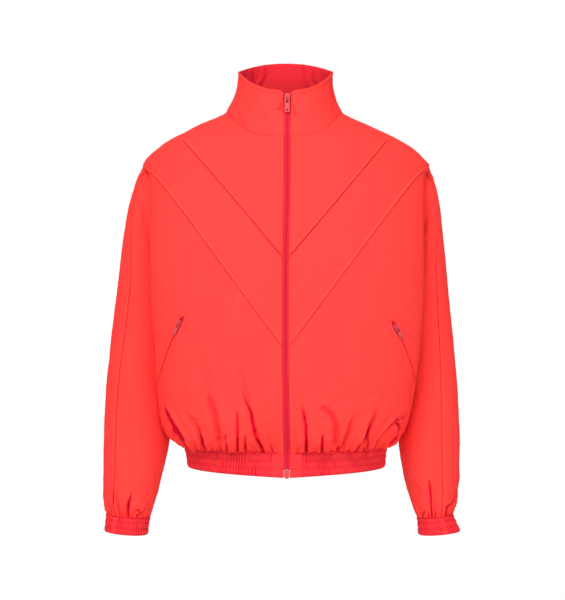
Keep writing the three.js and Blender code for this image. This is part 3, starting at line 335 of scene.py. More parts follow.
# Creases above the hem: where they start round the hem, how far they lean by their top, how
# that lean bends, and rise, depth and width. Round is measured from the zip or the back's middle.
hemCreases = {
    "right": table(
        "at lean bend rise deep wide",
        (22, 7, 1, 40, 3.5, 5), (37, 40, 0.9, 155, 8, 7), (52, 1, 1, 18, 3, 5), (67, -1, 1, 36, 5, 5),
        (79, -1, 1, 72, 6, 6), (96, 2, 1, 34, 4, 6), (106, 22, 1, 150, 5, 11), (121, 3, 1, 20, 4, 6),
        (136, 44, 2, 74, 7, 7), (150, 3, 1, 22, 4, 6), (161, 76, 1.4, 82, 14, 9), (180, 6, 1, 30, 5, 7),
        (204, 14, 1, 60, 8, 9),
    ),
    "left": table(
        "at lean bend rise deep wide",
        (17, 0, 1, 18, 3, 5), (31, -8, 3, 84, 8, 5.5), (43, 1, 1, 18, 3, 5), (55, 0, 1, 38, 5, 5.5),
        (68, 3, 1, 18, 3, 5), (81, -18, 2.5, 88, 5, 9), (84, 30, 1, 70, 5, 7), (99, 2, 1, 22, 4, 6),
        (112, 38, 0.75, 84, 8, 7), (130, -6, 1, 26, 4, 6), (147, 78, 2, 70, 12, 9), (166, 3, 1, 26, 4, 6),
        (182, 8, 1, 34, 5, 7), (206, 12, 1, 58, 8, 9),
    ),
    "backRight": table(
        "at lean bend rise deep wide",
        (12, 5, 1, 110, 7, 8), (36, 2, 1, 30, 5, 6), (58, 18, 1, 84, 7, 8), (84, 3, 1, 34, 5, 7),
        (108, 34, 1.2, 120, 8, 9), (132, 4, 1, 28, 5, 7), (156, 22, 1, 66, 7, 8), (182, 10, 1, 44, 6, 8),
        (206, 16, 1, 60, 7, 8),
    ),
    "backLeft": table(
        "at lean bend rise deep wide",
        (20, 0, 1, 44, 5, 7), (44, 16, 1, 96, 8, 8), (70, 2, 1, 28, 4, 6), (92, 24, 1.2, 70, 7, 8),
        (118, 6, 1, 34, 5, 7), (140, 34, 1, 112, 8, 9), (168, 6, 1, 36, 6, 8), (190, 12, 1, 56, 7, 8),
        (210, 14, 1, 50, 6, 8),
    ),
}
cuffCreases = {
    "right": table(
        "at lean bend rise deep wide",
        (35, 4, 1, 34, 5, 9), (62, 3, 1, 42, 4, 8), (90, 8, 1, 52, 6, 8), (122, -6, 1, 22, 4, 8),
        (148, 6, 1, 26, 4, 9), (185, 0, 1, 40, 5, 10), (222, 5, 1, 30, 5, 9), (262, -6, 1, 50, 6, 10),
        (300, 4, 1, 32, 5, 9), (336, -4, 1, 40, 5, 9),
    ),
    "left": table(
        "at lean bend rise deep wide",
        (28, -10, 1, 44, 5, 9), (58, 3, 1, 30, 5, 8), (96, -2, 1, 60, 6, 8), (118, -12, 1, 26, 4, 8),
        (146, -8, 1, 24, 4, 9), (184, 4, 1, 40, 5, 10), (224, -5, 1, 34, 5, 9), (264, 6, 1, 46, 6, 10),
        (302, -4, 1, 30, 5, 9), (338, 4, 1, 42, 5, 9),
    ),
}
foldLook = {
    "narrow": 0.42, "open": 1.25, "sharp": 1.0, "soft": 1.8, "steep": 0.6, "slack": 1.35,
    "shoulder": 0.5, "shoulderOut": 1.8, "gain": 0.8, "fade": 0.9,
    "slit": 0.25, "slitWide": 1.5, "slitRise": 0.5, "dark": 0.4, "darkWide": 0.5,
}


def creaseField(creases, around, height, wrap=None, perUnit=1.0, look=foldLook):
    # troughs that start as a sharp cusp at the seam and open and soften upwards, each steep on
    # one side, with a ridge beside it there and a narrow slit in its lowest part; also the
    # painted shade in them
    depth = np.zeros(np.broadcast(around, height).shape)
    dark = np.zeros_like(depth)
    for at, lean, bend, rise, deep, wide in zip(*creases.values()):
        reach = np.clip(np.clip(height, 0, None) / rise, 0, 1)
        off = around - at - lean * reach**bend
        if wrap:
            off = off - wrap * np.round(off / wrap)
        inner = off * (1 if lean >= 0 else -1) < 0
        width = wide * mix(look["narrow"], look["open"], reach) * np.where(inner, look["steep"], look["slack"])
        off = np.abs(off)
        trough = np.exp(-((off / width) ** mix(look["sharp"], look["soft"], reach)))
        beside = np.exp(-(((off - look["shoulderOut"] * width) / width) ** 2)) * np.where(inner, 1.3, 0.5)
        slit = look["slit"] * np.exp(-((off * perUnit / look["slitWide"]) ** 2))
        slit = slit * np.maximum(0, 1 - reach / look["slitRise"])
        strength = look["gain"] * deep * (1 - reach) ** look["fade"]
        depth += strength * (look["shoulder"] * beside - trough - slit)
        line = np.exp(-((off / (look["darkWide"] * width)) ** 2)) * (1 - reach) ** 0.7
        dark = np.maximum(dark, look["dark"] * min(1, deep / 8) * line * smooth(height / 3))
    return depth * smooth(height / 4), dark


# Narrow folds, as points along each, round and up from the hem seam, then half width, depth
# and how dark the painted shade in it is. Each starts thin at its top.
folds = {
    "right": [
        ([(70, 104), (66, 91), (61, 79), (55, 66), (54, 53), (51, 37), (49, 26), (43, 14), (36, 0)], 1.9, 3, 1.0),
        ([(77, 68), (77, 61), (78, 33), (79, 2)], 1.6, 2.5, 0.95),
        ([(66, 31), (66, 4)], 1.7, 2.5, 0.9),
        ([(93, 33), (98, 28), (95, 16), (96, 0)], 1.5, 2, 0.8),
        ([(125, 96), (123, 84), (113, 58), (108, 21)], 6, 3.5, 0.35),
        ([(166, 64), (149, 51), (142, 31), (137, 7)], 4.5, 3, 0.4),
        ([(143, 32), (138, 12), (135, 0)], 2, 2.5, 0.9),
        ([(26, 14), (24, 8), (22, 1)], 1.3, 1.5, 0.7),
    ],
    "left": [
        ([(25, 78), (27, 65), (30, 43), (31, 2)], 1.9, 3, 1.0),
        ([(56, 34), (55, 2)], 2.0, 3, 1.0),
        ([(50, 76), (57, 74), (71, 64), (78, 47), (77, 17)], 4, 3, 0.45),
        ([(148, 68), (137, 47), (129, 26)], 4.5, 3, 0.4),
        ([(138, 50), (129, 26), (119, 13), (111, 0)], 3.0, 4, 1.0),
        ([(131, 30), (134, 5)], 1.8, 3, 0.9),
        ([(105, 62), (97, 32), (84, 7)], 4, 3, 0.4),
        ([(90, 17), (84, 7), (80, 0)], 2, 2.5, 0.9),
        ([(236, 60), (214, 55), (191, 50), (165, 34), (149, 14), (150, 2)], 1.5, 3, 0.75),
        ([(184, 47), (196, 44), (204, 34), (200, 20), (188, 8), (182, 2)], 3.4, 5, 1.0),
    ],
    "backRight": [
        ([(14, 96), (15, 60), (12, 2)], 2.0, 3, 0.8), ([(66, 70), (60, 34), (58, 2)], 1.8, 3, 0.8),
        ([(140, 96), (124, 60), (110, 22), (108, 2)], 3, 3.5, 0.7),
    ],
    "backLeft": [
        ([(24, 60), (21, 30), (20, 2)], 1.8, 3, 0.8), ([(60, 84), (50, 44), (44, 2)], 2, 3, 0.8),
        ([(172, 90), (156, 54), (143, 20), (140, 2)], 3, 3.5, 0.7),
    ],
}
# Where the cloth laps over itself: the upper layer's edge, then how deep the layer under it
# lies, how wide it shows and how dark the painted shade on it is.
tucks = {
    "right": [
        ([(238, 70), (228, 67), (212, 61), (196, 51), (182, 40), (169, 26), (166, 12), (166, 2)], 8, 21, 1.0),
    ],
    "left": [],
    "backRight": [([(226, 60), (204, 44), (186, 22), (178, 4)], 6, 9, 0.8)],
    "backLeft": [([(222, 66), (200, 44), (182, 20), (176, 4)], 6, 9, 0.8)],
}
# The same for the sleeves above the cuff seam, in mm round the sleeve from its outer point.
cuffScale = 0.7  # mm round the sleeve for each degree, just above the cuff
cuffFolds = {
    "right": [
        ([(68, 45), (66, 23), (67, 2)], 1.8, 3, 1.0), ([(40, 66), (41, 27), (37, 5)], 1.5, 2.5, 0.9),
        ([(44, 46), (50, 26), (52, 2)], 1.3, 2, 0.7), ([(74, 14), (84, 16), (90, 7)], 1.3, 2, 0.75),
        ([(102, 33), (94, 15), (82, 4)], 1.4, 2, 0.5), ([(180, 50), (184, 24), (182, 2)], 2, 3, 0.8),
        ([(222, 36), (214, 16), (216, 2)], 1.8, 3, 0.8),
    ],
    "left": [
        ([(70, 70), (70, 52), (71, 34), (73, 4)], 1.8, 3, 1.0), ([(16, 38), (32, 24), (43, 17), (41, 3)], 1.8, 3, 1.0),
        ([(97, 66), (92, 60), (84, 49)], 1.4, 1.8, 0.35), ([(84, 17), (95, 4)], 1.5, 2, 0.8),
        ([(176, 50), (180, 24), (178, 2)], 2, 3, 0.8), ([(216, 36), (210, 16), (212, 2)], 1.8, 3, 0.8),
    ],
}


def pathDistance(x, y, path):
    # distance from a bent line, signed by the side it lies on, and the share of the line there
    near = np.full(np.broadcast(x, y).shape, 1e9)
    signed, place = np.zeros_like(near), np.zeros_like(near)
    for i, ((x0, y0), (x1, y1)) in enumerate(zip(path[:-1], path[1:])):
        long = math.hypot(x1 - x0, y1 - y0)
        t = np.clip(((x - x0) * (x1 - x0) + (y - y0) * (y1 - y0)) / long**2, 0, 1)
        dx, dy = x - x0 - t * (x1 - x0), y - y0 - t * (y1 - y0)
        far = np.hypot(dx, dy)
        closer = far < near
        near = np.where(closer, far, near)
        signed = np.where(closer, np.sign(dx * (y0 - y1) - dy * (x0 - x1)) * far, signed)
        place = np.where(closer, (i + t) / (len(path) - 1), place)
    return signed, place


def foldField(around, height, lines):
    # a groove along each line with a low ridge on both sides of it
    depth = np.zeros(np.broadcast(around, height).shape)
    dark = np.zeros_like(depth)
    for path, half, deep, shade in lines:
        signed, place = pathDistance(around, height, path)
        off = np.abs(signed) / (half * (0.3 + 0.7 * smooth(place * 2.2)))
        fade = smooth(place * 5 + 0.1) * (1 - smooth((off - 3) / 2))
        depth += deep * fade * (0.4 * np.exp(-(((off - 2.1) / 1.1) ** 2)) - np.exp(-(off**2)))
        dark = np.maximum(dark, shade * fade * np.exp(-((off / 1.05) ** 4)))
    return depth, dark


def tuckField(around, height, edges):
    # a steep step down beyond each edge, which eases out over its width, and a low ridge on
    # the other side
    depth = np.zeros(np.broadcast(around, height).shape)
    dark = np.zeros_like(depth)
    for path, deep, wide, shade in edges:
        signed, place = pathDistance(around, height, path)
        reach = wide * (0.25 + 0.75 * smooth(place * 2.5))
        fade = smooth(place * 7) * smooth((1 - place) * 8 + 0.2)
        step = smooth(signed / 2.6 + 0.5)
        outer = np.exp(-np.maximum(signed, 0) / reach) * step
        inner = np.exp(-(((signed + 3.5) / 4.5) ** 2)) * (1 - step)
        depth += fade * deep * (0.3 * inner - outer)
        shown = smooth(signed / 1.8 + 0.7) * (1 - smooth((signed - 0.75 * reach) / (0.5 * reach)))
        dark = np.maximum(dark, fade * shade * shown)
    return depth, dark


def puckers(around, height, seed, pitch, rise, deep):
    # gathers at a seam: rounded lobes with sharp valleys between them, unevenly spaced and
    # uneven in strength, that die out above it
    drift = 0.8 * noise(around, 0 * around, seed, pitch * 4)
    reach = rise * (1 + 0.8 * noise(around, 0 * around, seed + 3, pitch * 1.7))
    uneven = 1 + 0.9 * noise(around, 0 * around, seed + 5, pitch * 1.9)
    lobes = np.abs(np.sin(np.pi * (around / pitch + drift))) ** 0.6
    fade = np.exp(-((np.maximum(height, 0) / reach) ** 1.3))
    return deep * uneven * (lobes - 0.8) * fade * smooth(height / 1.5)


def wrinkles(along, up, seed, turn, long, short):
    # long shallow creases that run one way: noise stretched along a turned axis
    c, s = math.cos(math.radians(turn)), math.sin(math.radians(turn))
    value = noise((along * c + up * s) * short / long, -along * s + up * c, seed, short)
    return 1 - 2 * np.abs(value) ** 0.8


# Meshes.
def makePiece(name, grid, material, core, wrap=False, lift=None, thickness=None, paintedShading=None, inside=None):
    # one sheet from a grid of points in mm: lift moves points out along the surface's own
    # normal, and two UV axes run in metres along and up the cloth
    rows, columns = grid.shape[:2]
    if wrap:
        grid = np.concatenate([grid, grid[:, :1]], axis=1)
        core = np.concatenate([core, core[:, :1]], axis=1)
    along, up = np.gradient(grid, axis=1), np.gradient(grid, axis=0)
    if wrap:
        along[:, [0, -1]] = ((grid[:, 1] - grid[:, -2]) / 2)[:, None]
    normal = unit(np.cross(along, up))
    if np.sum(normal * (grid - core)) < 0:
        normal = -normal
    outward = np.sum(np.cross(along, up) * normal) > 0
    raised = np.zeros(grid.shape[:2])
    if lift is not None:
        raised = lift if not wrap else np.concatenate([lift, lift[:, :1]], axis=1)
    points = grid + normal * raised[..., None]
    step = np.linalg.norm(np.diff(points, axis=1), axis=-1)
    u = np.concatenate([np.zeros((rows, 1)), np.cumsum(step, axis=1)], axis=1)
    rise = np.linalg.norm(np.diff(points, axis=0), axis=-1)
    v = np.concatenate([np.zeros((1, grid.shape[1])), np.cumsum(rise, axis=0)], axis=0)
    index = np.arange(rows * columns).reshape(rows, columns)
    uvIndex = np.arange(rows * grid.shape[1]).reshape(rows, -1)
    if wrap:
        index = np.concatenate([index, index[:, :1]], axis=1)

    def quads(ids):
        a, b, c, d = ids[:-1, :-1], ids[:-1, 1:], ids[1:, 1:], ids[1:, :-1]
        order = (a, b, c, d) if outward else (a, d, c, b)
        return np.stack(order, axis=-1).reshape(-1, 4)

    faces, uvFaces = quads(index), quads(uvIndex)
    vertices = (points[:, :columns] * mm).reshape(-1, 3)
    mesh = bpy.data.meshes.new(name)
    mesh.vertices.add(len(vertices))
    mesh.vertices.foreach_set("co", vertices.ravel())
    mesh.loops.add(faces.size)
    mesh.loops.foreach_set("vertex_index", faces.ravel().astype(np.int32))
    mesh.polygons.add(len(faces))
    mesh.polygons.foreach_set("loop_start", np.arange(0, faces.size, 4, dtype=np.int32))
    mesh.update(calc_edges=True)
    uv = mesh.uv_layers.new(name="cloth")
    flatUv = np.stack([u.ravel(), v.ravel()], axis=-1)[uvFaces.ravel()] * mm
    uv.data.foreach_set("uv", flatUv.ravel())
    deep = mesh.attributes.new("paintedShading", "FLOAT", "POINT")
    values = np.zeros((rows, columns)) if paintedShading is None else paintedShading[:, :columns]
    deep.data.foreach_set("value", values.ravel().astype(np.float32))
    mesh.polygons.foreach_set("use_smooth", np.ones(len(faces), dtype=bool))
    piece = bpy.data.objects.new(name, mesh)
    bpy.context.scene.collection.objects.link(piece)
    mesh.materials.append(material)
    if thickness:
        solid = piece.modifiers.new("thickness", "SOLIDIFY")
        solid.thickness = thickness * mm
        solid.offset = -1
        if inside:
            mesh.materials.append(inside)
            solid.material_offset = 1
    return piece, points, normal


def settle(piece, node, slotName, bodyName="garment"):
    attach(piece, bodyName)
    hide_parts(*([node] if isinstance(node, str) else node))


# Materials.
class Sock:
    # a socket that adds Math nodes when it is used in an expression
    def __init__(self, tree, socket):
        self.tree, self.socket = tree, socket

    def node(self, kind, settings=None, **inputs):
        return addNode(self.tree, kind, settings, **inputs)

    def maths(self, operation, *values):
        made = self.tree.nodes.new("ShaderNodeMath")
        made.operation = operation
        for place, value in zip(made.inputs, values):
            feed(self.tree, place, value)
        return Sock(self.tree, made.outputs[0])

    def __add__(self, other): return self.maths("ADD", self, other)
    def __radd__(self, other): return self.maths("ADD", other, self)
    def __sub__(self, other): return self.maths("SUBTRACT", self, other)
    def __rsub__(self, other): return self.maths("SUBTRACT", other, self)
    def __mul__(self, other): return self.maths("MULTIPLY", self, other)
    def __rmul__(self, other): return self.maths("MULTIPLY", other, self)
    def __truediv__(self, other): return self.maths("DIVIDE", self, other)
    def __pow__(self, other): return self.maths("POWER", self, other)
    def sin(self): return self.maths("SINE", self)
    def clamp(self): return self.maths("MINIMUM", self.maths("MAXIMUM", self, 0.0), 1.0)


def feed(tree, place, value):
    if isinstance(value, Sock):
        tree.links.new(value.socket, place)
    else:
        place.default_value = value


def addNode(tree, kind, settings=None, output=0, **inputs):
    # settings first, then sockets by name, where _ stands for a space
    made = tree.nodes.new(kind)
    for key, value in (settings or {}).items():
        setattr(made, key, value)
    for key, value in inputs.items():
        place = made.inputs[int(key[1:])] if key[1:].isdigit() else made.inputs[key.replace("_", " ")]
        feed(tree, place, value)
    return Sock(tree, made.outputs[output])


def mixColour(tree, factor, first, second):
    made = tree.nodes.new("ShaderNodeMix")
    made.data_type = "RGBA"
    feed(tree, made.inputs[0], factor)
    feed(tree, made.inputs[6], first)
    feed(tree, made.inputs[7], second)
    return Sock(tree, made.outputs[2])


def newMaterial(name):
    material = bpy.data.materials.new(name)
    material.use_nodes = True
    shader = material.node_tree.nodes["Principled BSDF"]
    return material, material.node_tree, shader


# the first colour is the cloth in full light, the second a painted shade colour that creases, seams and hollows are
# mixed towards, and the third a painted highlight colour for edges that catch the light
nylonLook = {
    "lit": (0.98, 0.047, 0.041, 1), "deep": (0.58, 0.001, 0.020, 1), "paintedHighlight": (1.0, 0.070, 0.056, 1),
    "roughness": 0.6, "specular": 0.03,
    "threadPitch": 0.00042, "threadBump": 0.0002, "crinkleBump": 0.0018, "patch": 0.09,
    "hollow": 0.012, "hollowShade": 0.7,
}


def clothMaterial(name, look):
    # plain weave: product of two sines on the cloth's own axes, over a soft crinkle
    material, tree, shader = newMaterial(name)
    place = addNode(tree, "ShaderNodeUVMap", {"uv_map": "cloth"})
    parts = tree.nodes.new("ShaderNodeSeparateXYZ")
    tree.links.new(place.socket, parts.inputs[0])
    across, along = Sock(tree, parts.outputs[0]), Sock(tree, parts.outputs[1])
    turns = 2 * math.pi / look["threadPitch"]
    weave = (across * turns).sin() * (along * turns).sin()
    coords = addNode(tree, "ShaderNodeTexCoord", output=3)
    crinkle = addNode(tree, "ShaderNodeTexNoise", Vector=coords, Scale=95.0, Detail=3.0, Roughness=0.55)
    broad = addNode(tree, "ShaderNodeTexNoise", Vector=coords, Scale=9.0, Detail=2.0)
    paintedShading = addNode(tree, "ShaderNodeAttribute", {"attribute_name": "paintedShading"}, output=2)
    # the attribute is painted shade, how far the colour is pulled towards the shade colour in creases,
    # seams and recesses, and below nought a painted highlight where an edge catches the light; a hollow that ambient
    # occlusion finds gets painted shade too
    open_ = addNode(tree, "ShaderNodeAmbientOcclusion", {"samples": 6}, output=1, Distance=look["hollow"])
    hollow = ((1 - open_) * look["hollowShade"] - 0.12).clamp()
    shade = (paintedShading + hollow + (broad - 0.5) * look["patch"] + (crinkle - 0.5) * look["patch"]).clamp()
    lit = mixColour(tree, (paintedShading * -1.0).clamp(), look["lit"], look["paintedHighlight"])
    colour = mixColour(tree, shade, lit, look["deep"])
    feed(tree, shader.inputs["Base Color"], colour)
    feed(tree, shader.inputs["Roughness"], look["roughness"] + (crinkle - 0.5) * 0.12)
    height = weave * look["threadBump"] + crinkle * look["crinkleBump"]
    bump = addNode(tree, "ShaderNodeBump", Height=height, Distance=1.0, Strength=0.5)
    feed(tree, shader.inputs["Normal"], bump)
    shader.inputs["Specular IOR Level"].default_value = look["specular"]
    return material


# the zip tape's own darker red, with its own painted shade and painted highlight colours
tapeLook = {
    "lit": (0.66, 0.018, 0.042, 1), "deep": (0.46, 0.003, 0.02, 1), "paintedHighlight": (0.9, 0.03, 0.05, 1),
    "roughness": 0.7, "specular": 0.08,
    "threadPitch": 0.0009, "threadBump": 0.0004, "crinkleBump": 0.0002, "patch": 0.05,
    "hollow": 0.004, "hollowShade": 0.5,
}
enamelLook = {"colour": (0.47, 0.045, 0.053, 1), "worn": (0.59, 0.075, 0.083, 1), "roughness": 0.55}
threadLook = {"colour": (0.90, 0.05, 0.045, 1), "roughness": 0.5}


def enamelMaterial(look):
    # painted metal, a little paler and smoother in patches where fingers rub
    material, tree, shader = newMaterial("zip enamel")
    coords = addNode(tree, "ShaderNodeTexCoord", output=3)
    rubbed = addNode(tree, "ShaderNodeTexNoise", Vector=coords, Scale=260.0, Detail=3.0)
    amount = ((rubbed - 0.45) * 2.2).clamp()
    feed(tree, shader.inputs["Base Color"], mixColour(tree, amount, look["colour"], look["worn"]))
    feed(tree, shader.inputs["Roughness"], look["roughness"] - amount * 0.08)
    shader.inputs["Specular IOR Level"].default_value = 0.25
    return material


def threadMaterial(look):
    material, tree, shader = newMaterial("thread")
    coords = addNode(tree, "ShaderNodeTexCoord", output=3)
    fibre = addNode(tree, "ShaderNodeTexNoise", Vector=coords, Scale=900.0, Detail=2.0)
    shade = mixColour(tree, fibre, look["colour"], (0.7, 0.03, 0.035, 1))
    feed(tree, shader.inputs["Base Color"], shade)
    shader.inputs["Roughness"].default_value = look["roughness"]
    return material


nylon = clothMaterial("red nylon", nylonLook)
ribbed = clothMaterial("gathered nylon", dict(nylonLook, lit=(0.79, 0.036, 0.041, 1)))
# the collar's inside: the same nylon painted darker, as painted shade
shadedInside = clothMaterial("nylon inside in painted shade", dict(nylonLook, lit=(0.71, 0.023, 0.035, 1), hollowShade=0.1))
tape = clothMaterial("zip tape", tapeLook)
enamel = enamelMaterial(enamelLook)
thread = threadMaterial(threadLook)
print("materials made")

# Stitching: every run is a row of dashes that bow over the cloth.
stitchLook = {"length": 2.6, "gap": 0.9, "half": 0.28, "high": 0.42}
stitchRuns = []


def addStitches(path, normal, look=stitchLook):
    # resampled by length, each stitch is a six-point bar: two ends in the cloth, a raised middle
    step = np.concatenate([[0], np.cumsum(np.linalg.norm(np.diff(path, axis=0), axis=1))])
    pitch = look["length"] + look["gap"]
    starts = np.arange(pitch * 0.5, step[-1] - pitch, pitch)
    if len(starts) == 0:
        return

    def at(distance, values):
        return np.stack([np.interp(distance, step, values[:, i]) for i in range(3)], axis=-1)

    first, middle, last = (at(starts + look["length"] * t, path) for t in (0, 0.5, 1))
    out = unit(at(starts + look["length"] * 0.5, normal))
    wide = unit(np.cross(last - first, out)) * look["half"]
    lower = out * -0.12
    upper = out * look["high"]
    bars = np.stack([
        first + wide + lower, first - wide + lower, middle + wide * 1.2, middle - wide * 1.2,
        last + wide + lower, last - wide + lower, middle + wide * 0.5 + upper, middle - wide * 0.5 + upper,
    ], axis=1)
    stitchRuns.append(bars)


stitchFaces = np.array([
    (0, 1, 7, 6), (6, 7, 5, 4), (0, 6, 4, 2), (1, 3, 5, 7), (0, 2, 3, 1), (2, 4, 5, 3),
])


# Body panels.
def bodyCore(grid):
    return stack(grid[..., 0] * 0.3, 0 * grid[..., 1], np.minimum(grid[..., 2], -30) - 30)


def denseRows(first, last, steps, power=1.0):
    return first + (last - first) * np.linspace(0, 1, steps) ** power


lap = {"wide": 5.6, "raise": 0.8, "ridge": 1.35, "ridgeAt": 1.7, "ridgeWide": 1.25, "roll": 0.9, "stitchAt": 5.0}


def lapField(distance, size=1.0):
    # the folded edge is a round ridge, then a flat raised strip that dips at the stitching
    strip = lap["raise"] * (1 - smooth((distance - lap["wide"] + 0.8) / 1.8))
    ridge = lap["ridge"] * np.exp(-(((distance - lap["ridgeAt"]) / lap["ridgeWide"]) ** 2))
    edge = np.sqrt(np.clip(distance / lap["roll"], 0, 1))
    dip = 0.4 * np.exp(-(((distance - lap["stitchAt"]) / 0.8) ** 2))
    return size * ((strip + ridge) * edge - dip)


def hemRound(side, pointAt, start):
    # how far round the hem each column starts, as a function of its share of the row
    share = np.linspace(0, 1, 400)
    line = pointAt(side, 0, share)
    run = np.concatenate([[0], np.cumsum(np.linalg.norm(np.diff(line, axis=0), axis=1))])
    return lambda along: start + np.interp(along, share, run)


frontRound = {side: hemRound(side, frontPoint, cut["zipHalf"]) for side in sign}
backRound = {side: hemRound(side, backPoint, 0) for side in sign}


def panelFields(side, grid, along, face, seed):
    # folds and softer waves of a body panel, in mm outwards, and the painted shade in the folds
    front = face == "front"
    height = grid[..., 2] - cut["hemTop"]
    widthKey = "flank" + side.capitalize() if front else "backX"
    growth = section[widthKey](grid[..., 2]) / section[widthKey](cut["hemTop"])
    around = (frontRound if front else backRound)[side](along) * growth
    flat = smooth((np.abs(grid[..., 0]) - cut["zipHalf"] - 2) / 12) if front else 1
    place = side if front else "back" + side.capitalize()
    creased, dark = creaseField(hemCreases[place], around, height)
    gathers = puckers(around, height, seed, 9.4, 10.0, 1.6) + puckers(around, height, seed + 9, 4.7, 4.5, 1.0)
    narrow, narrowDark = foldField(around, height, folds[place])
    tucked, tuckedDark = tuckField(around, height, tucks[place])
    held = smooth((height + 0.3) / 5)
    pressed = creased + gathers + (narrow + tucked) * held
    dark = np.maximum.reduce([dark, narrowDark, tuckedDark, seamShade(gathers, around, height, seed)])
    low = np.exp(-np.maximum(height, 0) / 110)
    soft = (0.35 + 2.6 * low) * ripple(around, height * 0.35, seed + 20, 30)
    way = sign[side] * (25 if front else -25)
    soft = soft + 0.6 * wrinkles(around, height, seed + 30, way, 60, 13) * (0.4 + 1.8 * low)
    soft = soft + 0.4 * wrinkles(around, height, seed + 40, -way * 2, 34, 7) * (0.3 + 2.0 * low)
    return pressed * flat, soft * flat * (0.08 + 0.92 * held), dark * flat


def seamShade(gathers, around, height, seed):
    # painted shade in the valleys of the gathers just above the seam, and a wavy line of painted shadow along the
    # seam, where the body hangs over the band
    valleys = 0.9 * smooth((-gathers - 0.35) / 1.0) * np.exp(-np.maximum(height, 0) / 5.0)
    wave = 1.4 + 1.2 * noise(around, 0 * around, seed + 70, 6.5)
    return np.maximum(valleys, 0.85 * np.exp(-(((height - wave) / 1.1) ** 2)))


def edgeDistance(grid, axis, end):
    # length along the grid from one of its edges, in mm
    step = np.linalg.norm(np.diff(grid, axis=axis), axis=-1)
    if end == "last":
        step = np.flip(step, axis=axis)
    run = np.cumsum(step, axis=axis)
    zero = np.zeros_like(np.take(run, [0], axis=axis))
    run = np.concatenate([zero, run], axis=axis)
    return np.flip(run, axis=axis) if end == "last" else run


def frontPanel(name, side, firstRow, lastRow, rowCount, columnCount, lapped, tucked, seed):
    along = np.linspace(0, 1, columnCount)[None, :]
    row = denseRows(firstRow, lastRow, rowCount, 1.6 if lapped else 1.0)[:, None]
    grid = frontPoint(side, row, along)
    row, along = np.broadcast_arrays(row, along)
    pressed, soft, dark = panelFields(side, grid, along, "front", seed)
    lift = pressed + soft
    low = edgeDistance(grid, 0, "first")
    high = edgeDistance(grid, 0, "last")
    ends = smooth(edgeDistance(grid, 1, "last") / 12)
    lift = lift * (0.25 + 0.75 * ends)
    across = along * 300
    if lapped:
        sunk = smooth(edgeDistance(grid, 1, "last") / 22)
        lift = lift + lapField(low) * sunk + 0.2 * ripple(across, low, seed + 50, 9) * np.exp(-low / 9)
    if tucked:
        lift = lift - 0.5 * (1 - smooth(high / 3)) + 0.3 * ripple(across, high, seed + 60, 11) * np.exp(-high / 10)
    zipEdge = edgeDistance(grid, 1, "first")
    lift = lift + lapField(zipEdge, 0.5)
    # painted shade where the panel turns in behind the sleeve and along its edge beside the sleeve, painted shade
    # under the edge of the panel lapped over it, and at a lapped seam painted shade on its line with a painted
    # highlight on the ridge beside it
    dark = dark + 0.75 * smooth((along - flankAt(rowAt["side"](row)) - 0.01) / 0.07) * (row <= lowerSeam)
    inward = section["flank" + side.capitalize()](grid[..., 2]) - np.abs(grid[..., 0])
    dark = dark + 0.3 * smooth((3.4 - inward) / 2.2) * (row <= lowerSeam) * smooth((-120 - grid[..., 2]) / 30)
    if tucked:
        dark = dark + 0.3 * np.exp(-((high / 0.9) ** 2))
    if lapped:
        dark = dark + 0.3 * np.exp(-((low / 0.4) ** 2)) - 0.8 * np.exp(-(((low - 2.4) / 1.3) ** 2))
    piece, points, normal = makePiece(
        name + "Cloth", grid, nylon, bodyCore(grid), lift=lift, thickness=cut["cloth"], paintedShading=np.clip(dark, -1, 1))
    if lapped:
        at = np.argmin(np.abs(low[:, columnCount // 2] - lap["stitchAt"]))
        addStitches(points[at], normal[at])
    column = np.argmin(np.abs(zipEdge[rowCount // 2] - 6.2))
    addStitches(points[:, column], normal[:, column])
    return piece, points, normal


pieces = {}
for side in ("right", "left"):
    seed = 100 if side == "right" else 200
    lower = frontPanel(f"front_{side}", side, 0, lowerSeam, 150, 172, False, True, seed)
    bandPiece = frontPanel(f"front_band_{side}", side, lowerSeam, upperSeam, 52, 118, True, True, seed)
    yoke = frontPanel(f"front_yoke_{side}", side, upperSeam, neckRow, 68, 92, True, False, seed)
    pieces[f"front_{side}"], pieces[f"front_band_{side}"], pieces[f"front_yoke_{side}"] = lower, bandPiece, yoke
print("fronts made")

rowSteps = denseRows(0, neckRow, 190)[:, None]
halfAlong = np.linspace(0, 1, 104)
backGrid = np.concatenate([
    backPoint("right", rowSteps, halfAlong[None, :0:-1]), backPoint("left", rowSteps, halfAlong[None, :]),
], axis=1)
# painted shade of the folds, for each half of the back
backLift, backPaintedShade = [], []
for side, steps, seed in (("right", halfAlong[:0:-1], 300), ("left", halfAlong, 320)):
    part = backGrid[:, :103] if side == "right" else backGrid[:, 103:]
    row, along = np.broadcast_arrays(rowSteps, steps[None, :])
    pressed, soft, dark = panelFields(side, part, along, "back", seed)
    blend = smooth(along * 8)
    backLift.append((pressed + soft) * blend)
    backPaintedShade.append(dark * blend)
backLift = np.concatenate(backLift, axis=1)
sideEnds = smooth(edgeDistance(backGrid, 1, "first") / 12) * smooth(edgeDistance(backGrid, 1, "last") / 12)
pieces["back"] = makePiece(
    "backCloth", backGrid, nylon, bodyCore(backGrid), lift=backLift * (0.25 + 0.75 * sideEnds),
    thickness=cut["cloth"], paintedShading=np.concatenate(backPaintedShade, axis=1))
print("back made")

